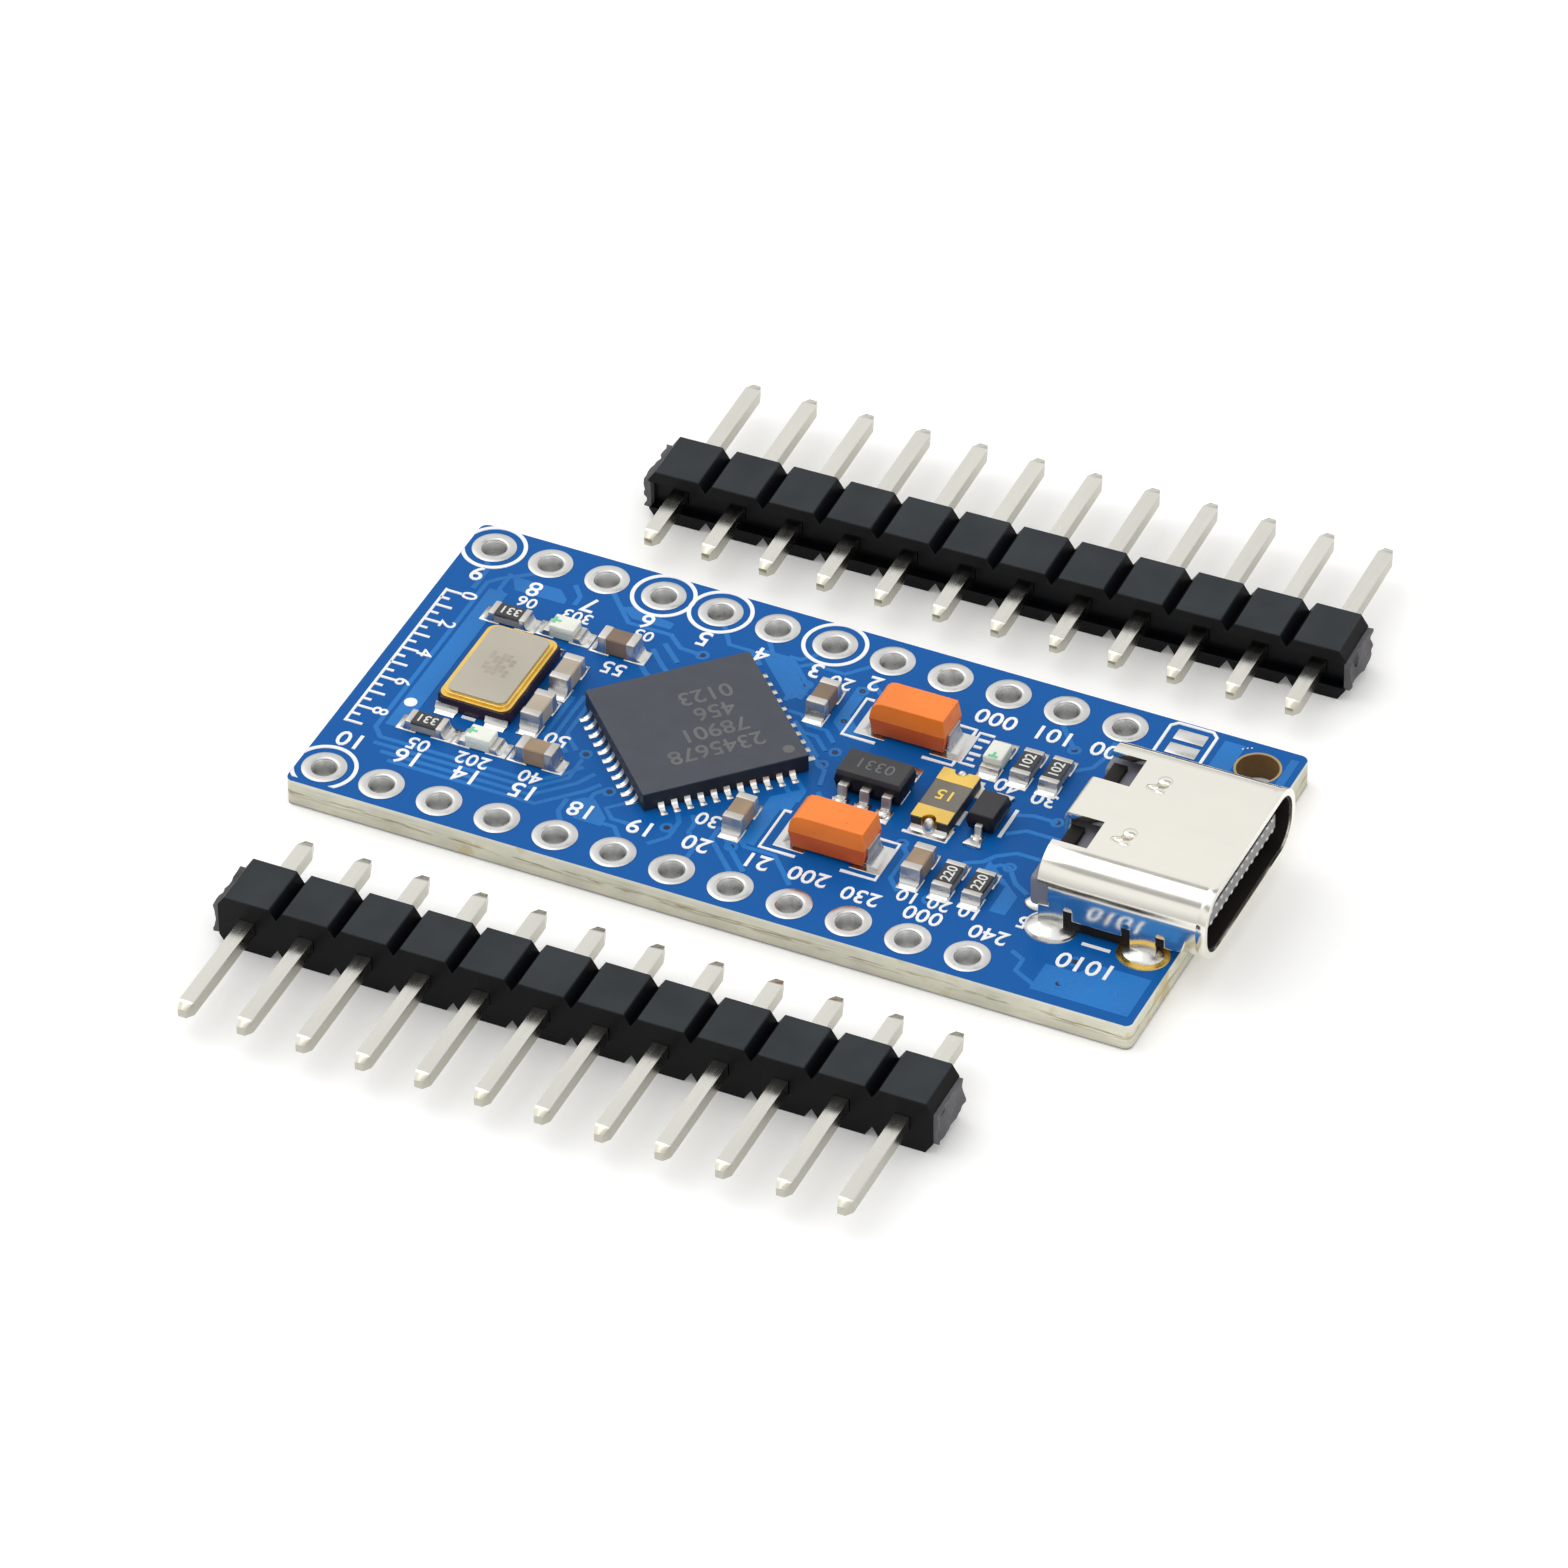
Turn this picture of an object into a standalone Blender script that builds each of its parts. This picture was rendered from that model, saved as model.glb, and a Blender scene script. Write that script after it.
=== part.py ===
"""A small microcontroller board with a USB-C socket and two loose 12-pin header strips.

The origin is the middle of the board's underside, which rests on the table. +X points to the
USB end, +Z is up. Places on the board are measured from the middle of its grid of header holes.
"""

import math

import bmesh
import bpy
from mathutils import Matrix

MM = 0.001

# Gaps that keep touching pieces apart
SEAT_GAP = 0.03 * MM
FIT_GAP = 0.02 * MM

# Header strips, which also set the grid of holes
PIN_COUNT = 12
PITCH = 2.54 * MM
PIN_SIDE = 0.64 * MM
PIN_LONG_END = 5.6 * MM
PIN_SHORT_END = 2.9 * MM
PIN_TIP = 0.45 * MM
PIN_TIP_SHARE = 0.5
HOUSING_DEPTH = 2.5 * MM
HOUSING_HEIGHT = 2.5 * MM
HOUSING_NOTCH = 0.32 * MM
HOUSING_NOTCH_DEPTH = 0.5 * MM
CHANNEL_DEPTH = 0.4 * MM
CHANNEL_HEIGHT = 1.3 * MM

# Circuit board
BOARD_WIDTH = 17.78 * MM
BOARD_THICKNESS = 1.2 * MM
BOARD_CORNER = 0.35 * MM
FIRST_HOLE_INSET = 1.13 * MM
USB_END_LENGTH = 7.43 * MM
ROW_INSET = 1.27 * MM
HOLE_CLEARANCE = 0.115 * MM
SCREW_HOLE = 1.75 * MM
SCREW_INSET_X = 1.65 * MM
SCREW_INSET_Y = 1.44 * MM

# USB-C socket
USB_WIDTH = 8.94 * MM
USB_HEIGHT = 3.16 * MM
USB_LENGTH = 7.35 * MM
USB_WALL = 0.3 * MM
USB_CORNER = 1.4 * MM
USB_OVERHANG = 1.32 * MM
USB_SHIFT_Y = -0.33 * MM
LEG_WIDTH = 1.1 * MM
LEG_FROM_FRONT = (2.6 * MM, 6.5 * MM)
LEG_TIP_HEIGHT = 0.15 * MM
SLOT_CLEARANCE = 0.15 * MM
WINDOW_LENGTH = 1.45 * MM
WINDOW_WIDTH = 1.75 * MM
WINDOW_SPACING = 4.1 * MM
FLAP_THICKNESS = 0.25 * MM
FLAP_BEND = 0.12 * MM
INSULATOR_LENGTH = 2.0 * MM
TONGUE_WIDTH = 6.69 * MM
TONGUE_THICKNESS = 0.7 * MM
TONGUE_RECESS = 0.6 * MM
TONGUE_STEP = 0.9 * MM
TONGUE_STEP_THICKNESS = 1.5 * MM

# Chips and other parts: length, width, height
CHIP_SIDE = 7.0 * MM
CHIP_HEIGHT = 0.85 * MM
CRYSTAL_LENGTH = 5.0 * MM
CRYSTAL_WIDTH = 3.2 * MM
CRYSTAL_BASE_HEIGHT = 0.6 * MM
CRYSTAL_RIM = 0.22 * MM
CRYSTAL_LID_HEIGHT = 0.25 * MM
TANTALUM_SIZE = (3.3 * MM, 1.7 * MM, 1.6 * MM)
TANTALUM_LIFT = 0.12 * MM
REGULATOR_SIZE = (2.9 * MM, 1.6 * MM, 1.05 * MM)
REGULATOR_SPAN = 2.8 * MM
REGULATOR_LEAD = (0.4 * MM, 0.15 * MM)
REGULATOR_PITCH = 0.95 * MM
DIODE_SIZE = (1.25 * MM, 1.7 * MM, 0.85 * MM)
DIODE_SPAN = 2.5 * MM
DIODE_LEAD = (0.3 * MM, 0.12 * MM)
FUSE_SIZE = (1.6 * MM, 3.2 * MM, 0.6 * MM)
FUSE_NOTCH = 0.32 * MM
RESISTOR_SIZE = (1.6 * MM, 0.8 * MM, 0.45 * MM)
CAPACITOR_SIZE = (1.6 * MM, 0.8 * MM, 0.8 * MM)
LED_SIZE = (1.6 * MM, 0.8 * MM, 0.6 * MM)
LED_BASE_HEIGHT = 0.25 * MM
LED_LENS_LENGTH = 1.1 * MM
CHIP_EDGE = 0.05 * MM
MOULD_DRAFT = 0.1 * MM

# Places on the board, from the middle of the hole grid: x, y
CHIP_PLACE = (-1.25 * MM, 0.0)
CRYSTAL_PLACE = (-10.0 * MM, 0.05 * MM)
REGULATOR_PLACE = (6.5 * MM, 0.1 * MM)
FUSE_PLACE = (9.5 * MM, 0.2 * MM)
DIODE_PLACE = (11.4 * MM, 0.1 * MM)
TANTALUM_PLACES = {
    "tantalum_capacitor_far": (6.55 * MM, 3.8 * MM),
    "tantalum_capacitor_near": (6.55 * MM, -3.8 * MM),
}

# Small parts: x, y and whether the part lies along Y
RESISTORS = {
    "resistor_1": (12.8 * MM, -3.9 * MM, True),
    "resistor_2": (11.5 * MM, -3.9 * MM, True),
    "resistor_3": (12.75 * MM, 3.6 * MM, True),
    "resistor_4": (11.5 * MM, 3.6 * MM, True),
    "resistor_5": (-11.3 * MM, -3.8 * MM, False),
    "resistor_6": (-11.3 * MM, 3.7 * MM, False),
}
CAPACITORS = {
    "capacitor_1": (10.15 * MM, -3.8 * MM, True),
    "capacitor_2": (2.5 * MM, 3.9 * MM, True),
    "capacitor_3": (2.5 * MM, -3.9 * MM, True),
    "capacitor_4": (-6.4 * MM, -3.8 * MM, False),
    "capacitor_5": (-6.4 * MM, 3.7 * MM, False),
    "capacitor_6": (-7.5 * MM, 1.1 * MM, True),
    "capacitor_7": (-7.55 * MM, -1.4 * MM, True),
}
LEDS = {
    "power_led": (10.2 * MM, 3.6 * MM, True),
    "transmit_led": (-8.9 * MM, -3.8 * MM, False),
    "receive_led": (-8.9 * MM, 3.8 * MM, False),
}

# Where the loose strips lie: gap from the board's edge to the pin tips, shift along X, turn
NEAR_STRIP = (3.2 * MM, 1.7 * MM, math.radians(0.3))
FAR_STRIP = (1.9 * MM, 5.45 * MM, math.radians(1.4))

# Worked out from the sizes above
GRID_LENGTH = (PIN_COUNT - 1) * PITCH
BOARD_LENGTH = FIRST_HOLE_INSET + GRID_LENGTH + USB_END_LENGTH
GRID_X = -BOARD_LENGTH / 2 + FIRST_HOLE_INSET + GRID_LENGTH / 2
ROW_Y = BOARD_WIDTH / 2 - ROW_INSET
HOLE_DIAMETER = PIN_SIDE * math.sqrt(2) + HOLE_CLEARANCE
BOARD_TOP = BOARD_THICKNESS
PART_FLOOR = BOARD_TOP + SEAT_GAP
USB_FRONT = BOARD_LENGTH / 2 + USB_OVERHANG
USB_BACK = USB_FRONT - USB_LENGTH + FLAP_THICKNESS
USB_MIDDLE_Z = PART_FLOOR + USB_HEIGHT / 2
HOUSING_LENGTH = PIN_COUNT * PITCH

MATERIALS = {
    "solder_mask": ((0.012, 0.13, 0.45), 0.35, 0.0),
    "nickel": ((0.76, 0.73, 0.67), 0.3, 1.0),
    "grey_plastic": ((0.2, 0.2, 0.24), 0.5, 0.0),
    "black_epoxy": ((0.05, 0.055, 0.06), 0.55, 0.0),
    "ceramic": ((0.03, 0.012, 0.02), 0.35, 0.0),
    "lid_metal": ((0.5, 0.46, 0.38), 0.35, 1.0),
    "orange_epoxy": ((0.9, 0.2, 0.03), 0.5, 0.0),
    "gold": ((0.8, 0.5, 0.08), 0.35, 1.0),
    "resistor_black": ((0.03, 0.03, 0.035), 0.4, 0.0),
    "capacitor_ceramic": ((0.3, 0.22, 0.15), 0.45, 0.0),
    "led_lens": ((0.75, 0.85, 0.7), 0.3, 0.0),
    "header_plastic": ((0.012, 0.014, 0.016), 0.5, 0.0),
    "tin": ((0.66, 0.64, 0.58), 0.35, 1.0),
}


def material(name):
    """The named material, made on first use."""
    found = bpy.data.materials.get(name)
    if found:
        return found
    colour, roughness, metallic = MATERIALS[name]
    made = bpy.data.materials.new(name)
    made.use_nodes = True
    shader = made.node_tree.nodes["Principled BSDF"]
    shader.inputs["Base Color"].default_value = (*colour, 1.0)
    shader.inputs["Roughness"].default_value = roughness
    shader.inputs["Metallic"].default_value = metallic
    return made


def add_object(name, bm, slot=None, place=(0, 0, 0), turn=0.0, parent=None):
    """An object made from a bmesh; without a material slot it is a hidden cutter."""
    bmesh.ops.recalc_face_normals(bm, faces=bm.faces[:])
    mesh = bpy.data.meshes.new(name)
    bm.to_mesh(mesh)
    bm.free()
    thing = bpy.data.objects.new(name, mesh)
    bpy.context.collection.objects.link(thing)
    thing.location = place
    thing.rotation_euler = (0, 0, turn)
    thing.parent = parent
    if slot:
        mesh.materials.append(material(slot))
    else:
        thing.hide_render = True
        thing.display_type = "WIRE"
    return thing


def boolean(target, tool, operation):
    """Cut a tool from a target, or join it on."""
    modifier = target.modifiers.new(tool.name, "BOOLEAN")
    modifier.operation = operation
    modifier.solver = "EXACT"
    modifier.object = tool


def smooth(thing, degrees=35):
    """Smooth shading that keeps the sharp edges."""
    thing.data.shade_smooth()
    thing.data.set_sharp_from_angle(angle=math.radians(degrees))


def add_box(bm, size, middle):
    """A box added to a bmesh; returns its vertices."""
    place = Matrix.Translation(middle) @ Matrix.Diagonal((*size, 1.0))
    return bmesh.ops.create_cube(bm, size=1.0, matrix=place)["verts"]


def add_prism(bm, outline, low, high):
    """An upright prism on a flat outline, added to a bmesh; returns its vertices."""
    ring = [bm.verts.new((x, y, low)) for x, y in outline]
    face = bm.faces.new(ring)
    made = bmesh.ops.extrude_face_region(bm, geom=[face], use_keep_orig=True)["geom"]
    raised = [item for item in made if isinstance(item, bmesh.types.BMVert)]
    bmesh.ops.translate(bm, verts=raised, vec=(0, 0, high - low))
    return ring + raised


def add_along_y(bm, outline, back, front):
    """A prism along Y on an outline drawn in X and Z."""
    verts = add_prism(bm, outline, back, front)
    lay = Matrix(((1, 0, 0, 0), (0, 0, 1, 0), (0, 1, 0, 0), (0, 0, 0, 1)))
    bmesh.ops.transform(bm, matrix=lay, verts=verts)


def add_cylinder(bm, diameter, low, high, x=0.0, y=0.0, segments=24):
    """An upright cylinder added to a bmesh."""
    place = Matrix.Translation((x, y, (low + high) / 2))
    bmesh.ops.create_cone(
        bm,
        cap_ends=True,
        segments=segments,
        radius1=diameter / 2,
        radius2=diameter / 2,
        depth=high - low,
        matrix=place,
    )


def rounded_rectangle(width, height, radius, steps=6):
    """Outline of a rectangle with round corners, counter-clockwise about the origin."""
    points = []
    for corner, (sx, sy) in enumerate(((1, 1), (-1, 1), (-1, -1), (1, -1))):
        for step in range(steps + 1):
            angle = math.pi / 2 * (corner + step / steps)
            x = sx * (width / 2 - radius) + radius * math.cos(angle)
            y = sy * (height / 2 - radius) + radius * math.sin(angle)
            points.append((x, y))
    return points


def ease_edges(bm):
    """Bevel every edge of a small moulded or ceramic body."""
    bmesh.ops.bevel(
        bm,
        geom=bm.edges[:],
        offset=CHIP_EDGE,
        offset_type="OFFSET",
        affect="EDGES",
        segments=1,
        profile=0.5,
    )


def drafted_box(bm, size, low, draft):
    """A moulded body: widest at mid height, drawn in by the draft at the top and bottom."""
    length, width, height = size
    add_box(bm, size, (0, 0, low + height / 2))
    bmesh.ops.bisect_plane(
        bm,
        geom=bm.verts[:] + bm.edges[:] + bm.faces[:],
        plane_co=(0, 0, low + height / 2),
        plane_no=(0, 0, 1),
    )
    ends = [vert for vert in bm.verts if abs(vert.co.z - low - height / 2) > height / 4]
    shrink = Matrix.Diagonal((1 - 2 * draft / length, 1 - 2 * draft / width, 1, 1))
    bmesh.ops.transform(bm, matrix=shrink, verts=ends)


# ---------------------------------------------------------------- circuit board


def leg_places():
    """Middle of each leg of the socket: x and the side it is on."""
    return [(USB_FRONT - back, side) for back in LEG_FROM_FRONT for side in (-1, 1)]


def leg_y(side):
    """Middle of a leg's thickness, in the plane of the shell's side wall."""
    return USB_SHIFT_Y + side * (USB_WIDTH / 2 - USB_WALL / 2)


def hole_places():
    """Middles of the header holes, row by row."""
    places = []
    for side in (-1, 1):
        for index in range(PIN_COUNT):
            places.append((GRID_X - GRID_LENGTH / 2 + index * PITCH, side * ROW_Y))
    return places


def make_board():
    """The bare board with its header holes, screw hole and slots for the socket's legs."""
    bm = bmesh.new()
    add_prism(bm, rounded_rectangle(BOARD_LENGTH, BOARD_WIDTH, BOARD_CORNER, 4), 0, BOARD_TOP)
    board = add_object("circuit_board", bm, "solder_mask")
    low, high = -BOARD_TOP, 2 * BOARD_TOP
    cuts = bmesh.new()
    for x, y in hole_places():
        add_cylinder(cuts, HOLE_DIAMETER, low, high, x, y)
    screw_x = BOARD_LENGTH / 2 - SCREW_INSET_X
    screw_y = BOARD_WIDTH / 2 - SCREW_INSET_Y
    add_cylinder(cuts, SCREW_HOLE, low, high, screw_x, screw_y, 32)
    slot_width = USB_WALL + 2 * SLOT_CLEARANCE
    slot_length = LEG_WIDTH + 2 * SLOT_CLEARANCE
    for x, side in leg_places():
        outline = rounded_rectangle(slot_length, slot_width, slot_width / 2.01, 5)
        middle_y = leg_y(side)
        add_prism(cuts, [(px + x, py + middle_y) for px, py in outline], low, high)
    boolean(board, add_object("board_cuts", cuts), "DIFFERENCE")


# ---------------------------------------------------------------- USB-C socket


def add_tube_section(bm, width, height, radius, back, front):
    """A round-sided section along X, at the socket's height."""
    verts = add_prism(bm, rounded_rectangle(width, height, radius, 8), back, front)
    upright = Matrix(((0, 0, 1, 0), (1, 0, 0, USB_SHIFT_Y), (0, 1, 0, USB_MIDDLE_Z), (0, 0, 0, 1)))
    bmesh.ops.transform(bm, matrix=upright, verts=verts)


def make_usb_shell():
    """The folded metal shell: open mouth, two windows at the back, a bent flap and four legs."""
    bm = bmesh.new()
    add_tube_section(bm, USB_WIDTH, USB_HEIGHT, USB_CORNER, USB_BACK, USB_FRONT)
    shell = add_object("usb_shell", bm, "nickel")

    bore = bmesh.new()
    inner = (USB_WIDTH - 2 * USB_WALL, USB_HEIGHT - 2 * USB_WALL, USB_CORNER - USB_WALL)
    add_tube_section(bore, *inner, USB_BACK - USB_WALL, USB_FRONT + USB_WALL)
    boolean(shell, add_object("usb_bore", bore), "DIFFERENCE")

    windows = bmesh.new()
    top = PART_FLOOR + USB_HEIGHT
    for side in (-1, 1):
        size = (WINDOW_LENGTH * 2, WINDOW_WIDTH, USB_WALL * 2.5)
        add_box(windows, size, (USB_BACK, USB_SHIFT_Y + side * WINDOW_SPACING / 2, top))
    boolean(shell, add_object("usb_windows", windows), "DIFFERENCE")

    legs = bmesh.new()
    leg_top = USB_MIDDLE_Z + USB_WALL / 3
    for x, side in leg_places():
        size = (LEG_WIDTH, USB_WALL, leg_top - LEG_TIP_HEIGHT)
        add_box(legs, size, (x, leg_y(side), (leg_top + LEG_TIP_HEIGHT) / 2))
    boolean(shell, add_object("usb_legs", legs), "UNION")

    flap = bmesh.new()
    flap_bottom = PART_FLOOR + USB_WALL
    flap_back = USB_BACK - FLAP_THICKNESS
    under = top - USB_WALL
    inside = USB_BACK + WINDOW_LENGTH / 2
    outline = [(inside, top), (flap_back + FLAP_BEND, top), (flap_back, top - FLAP_BEND)]
    outline += [(flap_back, flap_bottom), (USB_BACK - FIT_GAP, flap_bottom)]
    outline += [(USB_BACK - FIT_GAP, under), (inside, under)]
    half = (WINDOW_SPACING - WINDOW_WIDTH) / 2
    add_along_y(flap, outline, USB_SHIFT_Y - half, USB_SHIFT_Y + half)
    boolean(shell, add_object("usb_flap", flap), "UNION")
    smooth(shell)


def make_usb_insulator():
    """The grey moulding at the back of the shell, with the stepped tongue that faces the mouth."""
    inside = 2 * (USB_WALL + FIT_GAP)
    bm = bmesh.new()
    section = (USB_WIDTH - inside, USB_HEIGHT - inside, USB_CORNER - USB_WALL - FIT_GAP)
    back = USB_BACK + FIT_GAP
    block_front = back + INSULATOR_LENGTH
    add_tube_section(bm, *section, back, block_front)
    insulator = add_object("usb_insulator", bm, "grey_plastic")
    tongue = bmesh.new()
    tip = USB_FRONT - TONGUE_RECESS
    root = block_front - INSULATOR_LENGTH / 2
    size = (tip - root, TONGUE_WIDTH, TONGUE_THICKNESS)
    add_box(tongue, size, ((tip + root) / 2, USB_SHIFT_Y, USB_MIDDLE_Z))
    boolean(insulator, add_object("usb_tongue", tongue), "UNION")
    step = bmesh.new()
    step_front = block_front + TONGUE_STEP
    size = (step_front - root, TONGUE_WIDTH, TONGUE_STEP_THICKNESS)
    add_box(step, size, ((step_front + root) / 2, USB_SHIFT_Y, USB_MIDDLE_Z))
    boolean(insulator, add_object("usb_tongue_step", step), "UNION")


# ---------------------------------------------------------------- parts on the board


def on_board(place):
    """A place given from the middle of the hole grid, as a point on the board's top."""
    return (GRID_X + place[0], place[1], PART_FLOOR)


def make_microcontroller():
    """The leadless square chip, turned by an eighth of a turn."""
    bm = bmesh.new()
    add_box(bm, (CHIP_SIDE, CHIP_SIDE, CHIP_HEIGHT), (0, 0, CHIP_HEIGHT / 2))
    ease_edges(bm)
    turn = math.radians(45)
    return add_object("microcontroller", bm, "black_epoxy", on_board(CHIP_PLACE), turn)


def make_crystal():
    """The crystal's ceramic base and the metal lid on it."""
    bm = bmesh.new()
    size = (CRYSTAL_WIDTH, CRYSTAL_LENGTH, CRYSTAL_BASE_HEIGHT)
    add_box(bm, size, (0, 0, CRYSTAL_BASE_HEIGHT / 2))
    ease_edges(bm)
    place = on_board(CRYSTAL_PLACE)
    add_object("crystal_base", bm, "ceramic", place)
    bm = bmesh.new()
    rim = 2 * CRYSTAL_RIM
    outline = rounded_rectangle(CRYSTAL_WIDTH - rim, CRYSTAL_LENGTH - rim, CRYSTAL_RIM * 2, 4)
    low = CRYSTAL_BASE_HEIGHT + SEAT_GAP
    add_prism(bm, outline, low, low + CRYSTAL_LID_HEIGHT)
    add_object("crystal_lid", bm, "lid_metal", place)


def make_tantalum(name, place):
    """A moulded capacitor body with drafted sides, held just off the board by its terminals."""
    bm = bmesh.new()
    drafted_box(bm, TANTALUM_SIZE, TANTALUM_LIFT, MOULD_DRAFT)
    add_object(name, bm, "orange_epoxy", on_board(place))


def add_lead(bm, x, side, body_half, span, lead, shoulder):
    """One gull-wing lead: out of the body, down, and along the board to the end of its foot."""
    width, thickness = lead
    knee = body_half + (span / 2 - body_half) * 0.45
    inner = body_half - thickness
    outline = [
        (inner, shoulder + thickness),
        (inner, shoulder),
        (knee - thickness, shoulder),
        (knee - thickness * 0.6, 0),
        (span / 2, 0),
        (span / 2, thickness),
        (knee + thickness * 0.4, thickness),
        (knee, shoulder + thickness),
    ]
    verts = add_prism(bm, outline, -width / 2, width / 2)
    stand = Matrix(((0, 0, 1, x), (side, 0, 0, 0), (0, 1, 0, 0), (0, 0, 0, 1)))
    bmesh.ops.transform(bm, matrix=stand, verts=verts)


def make_leaded(name, place, size, leads, span, lead):
    """A moulded body joined to its leads; leads lists each lead's x and side."""
    bm = bmesh.new()
    drafted_box(bm, size, lead[1] / 2, MOULD_DRAFT)
    body = add_object(name, bm, "black_epoxy", on_board(place))
    metal = bmesh.new()
    for x, side in leads:
        add_lead(metal, x, side, size[1] / 2, span, lead, size[2] * 0.45)
    tool = add_object(name + "_leads", metal, None, on_board(place))
    boolean(body, tool, "UNION")


def make_regulator():
    """The five-leaded voltage regulator: three leads on the near side, two on the far side."""
    near = [(step * REGULATOR_PITCH, -1) for step in (-1, 0, 1)]
    far = [(step * REGULATOR_PITCH, 1) for step in (-1, 1)]
    make_leaded(
        "voltage_regulator", REGULATOR_PLACE, REGULATOR_SIZE, near + far, REGULATOR_SPAN, REGULATOR_LEAD
    )


def make_diode():
    """The small diode, with one lead at each end."""
    make_leaded("diode", DIODE_PLACE, DIODE_SIZE, [(0, -1), (0, 1)], DIODE_SPAN, DIODE_LEAD)


def make_fuse():
    """The flat resettable fuse, with a half-round notch in each end."""
    bm = bmesh.new()
    add_box(bm, FUSE_SIZE, (0, 0, FUSE_SIZE[2] / 2))
    fuse = add_object("resettable_fuse", bm, "gold", on_board(FUSE_PLACE))
    notches = bmesh.new()
    for side in (-1, 1):
        add_cylinder(notches, 2 * FUSE_NOTCH, -MM, MM, 0, side * FUSE_SIZE[1] / 2, 20)
    boolean(fuse, add_object("fuse_notches", notches, None, on_board(FUSE_PLACE)), "DIFFERENCE")


def make_block(name, place, size, slot):
    """A chip resistor or capacitor: a small block with eased edges."""
    bm = bmesh.new()
    add_box(bm, size, (0, 0, size[2] / 2))
    ease_edges(bm)
    x, y, along_y = place
    add_object(name, bm, slot, on_board((x, y)), math.radians(90) if along_y else 0.0)


def make_led(name, place):
    """A light-emitting diode: a flat base with a raised lens block in the middle."""
    bm = bmesh.new()
    length, width, height = LED_SIZE
    half, lens = length / 2, LED_LENS_LENGTH / 2
    outline = [(-half, 0), (half, 0), (half, LED_BASE_HEIGHT), (lens, LED_BASE_HEIGHT)]
    outline += [(lens - CHIP_EDGE, height), (-lens + CHIP_EDGE, height)]
    outline += [(-lens, LED_BASE_HEIGHT), (-half, LED_BASE_HEIGHT)]
    verts = add_prism(bm, outline, -width / 2, width / 2)
    stand = Matrix(((1, 0, 0, 0), (0, 0, -1, 0), (0, 1, 0, 0), (0, 0, 0, 1)))
    bmesh.ops.transform(bm, matrix=stand, verts=verts)
    x, y, along_y = place
    add_object(name, bm, "led_lens", on_board((x, y)), math.radians(90) if along_y else 0.0)


# ---------------------------------------------------------------- loose header strips


def housing_outline():
    """End-on outline of a header housing: a row of units with V notches between them."""
    half = HOUSING_HEIGHT / 2
    lower = []
    for index in range(PIN_COUNT):
        left = -HOUSING_LENGTH / 2 + index * PITCH
        lower.append((left, -half + HOUSING_NOTCH_DEPTH))
        lower.append((left + HOUSING_NOTCH, -half))
        lower.append((left + PITCH - HOUSING_NOTCH, -half))
    lower.append((HOUSING_LENGTH / 2, -half + HOUSING_NOTCH_DEPTH))
    return lower + [(x, -z) for x, z in reversed(lower)]


def pin_x(index):
    """Place of a pin along its strip."""
    return (index - (PIN_COUNT - 1) / 2) * PITCH


def make_housing(name, holder):
    """The black housing, with a channel on its short-pin face and a square hole for each pin."""
    bm = bmesh.new()
    add_along_y(bm, housing_outline(), -HOUSING_DEPTH / 2, HOUSING_DEPTH / 2)
    housing = add_object(name, bm, "header_plastic", parent=holder)
    channel = bmesh.new()
    size = (HOUSING_LENGTH + PITCH, CHANNEL_DEPTH * 2, CHANNEL_HEIGHT)
    add_box(channel, size, (0, HOUSING_DEPTH / 2, 0))
    boolean(housing, add_object(name + "_channel", channel, parent=holder), "DIFFERENCE")
    holes = bmesh.new()
    side = PIN_SIDE + 2 * FIT_GAP
    for index in range(PIN_COUNT):
        add_box(holes, (side, HOUSING_DEPTH * 2, side), (pin_x(index), 0, 0))
    boolean(housing, add_object(name + "_holes", holes, parent=holder), "DIFFERENCE")


def pin_mesh(bm):
    """A square pin along Y with tapered tips; its housing is centred on the origin."""
    low = -HOUSING_DEPTH / 2 - PIN_LONG_END
    high = HOUSING_DEPTH / 2 + PIN_SHORT_END
    shaft = high - low - 2 * PIN_TIP
    add_box(bm, (PIN_SIDE, shaft, PIN_SIDE), (0, (low + high) / 2, 0))
    ends = [face for face in bm.faces if abs(face.normal.y) > 0.5]
    for face in ends:
        way = face.normal.y
        tip = bmesh.ops.extrude_discrete_faces(bm, faces=[face])["faces"][0]
        bmesh.ops.translate(bm, verts=tip.verts[:], vec=(0, way * PIN_TIP, 0))
        shrink = Matrix.Diagonal((PIN_TIP_SHARE, 1, PIN_TIP_SHARE, 1))
        bmesh.ops.transform(bm, matrix=shrink, verts=tip.verts[:])


def make_strip(side_name, side, lie):
    """A loose header strip on the table, its short pins towards the board."""
    gap, shift, turn = lie
    reach = BOARD_WIDTH / 2 + gap + PIN_SHORT_END + HOUSING_DEPTH / 2
    holder = bpy.data.objects.new(side_name + "_strip", None)
    bpy.context.collection.objects.link(holder)
    holder.location = (GRID_X + shift, side * reach, HOUSING_HEIGHT / 2)
    holder.rotation_euler = (0, 0, turn + (math.pi if side > 0 else 0.0))
    make_housing(side_name + "_header_housing", holder)
    for index in range(PIN_COUNT):
        bm = bmesh.new()
        pin_mesh(bm)
        number = PIN_COUNT - index if side > 0 else index + 1
        name = f"{side_name}_pin_{number:02d}"
        add_object(name, bm, "tin", (pin_x(index), 0, 0), parent=holder)


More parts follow.
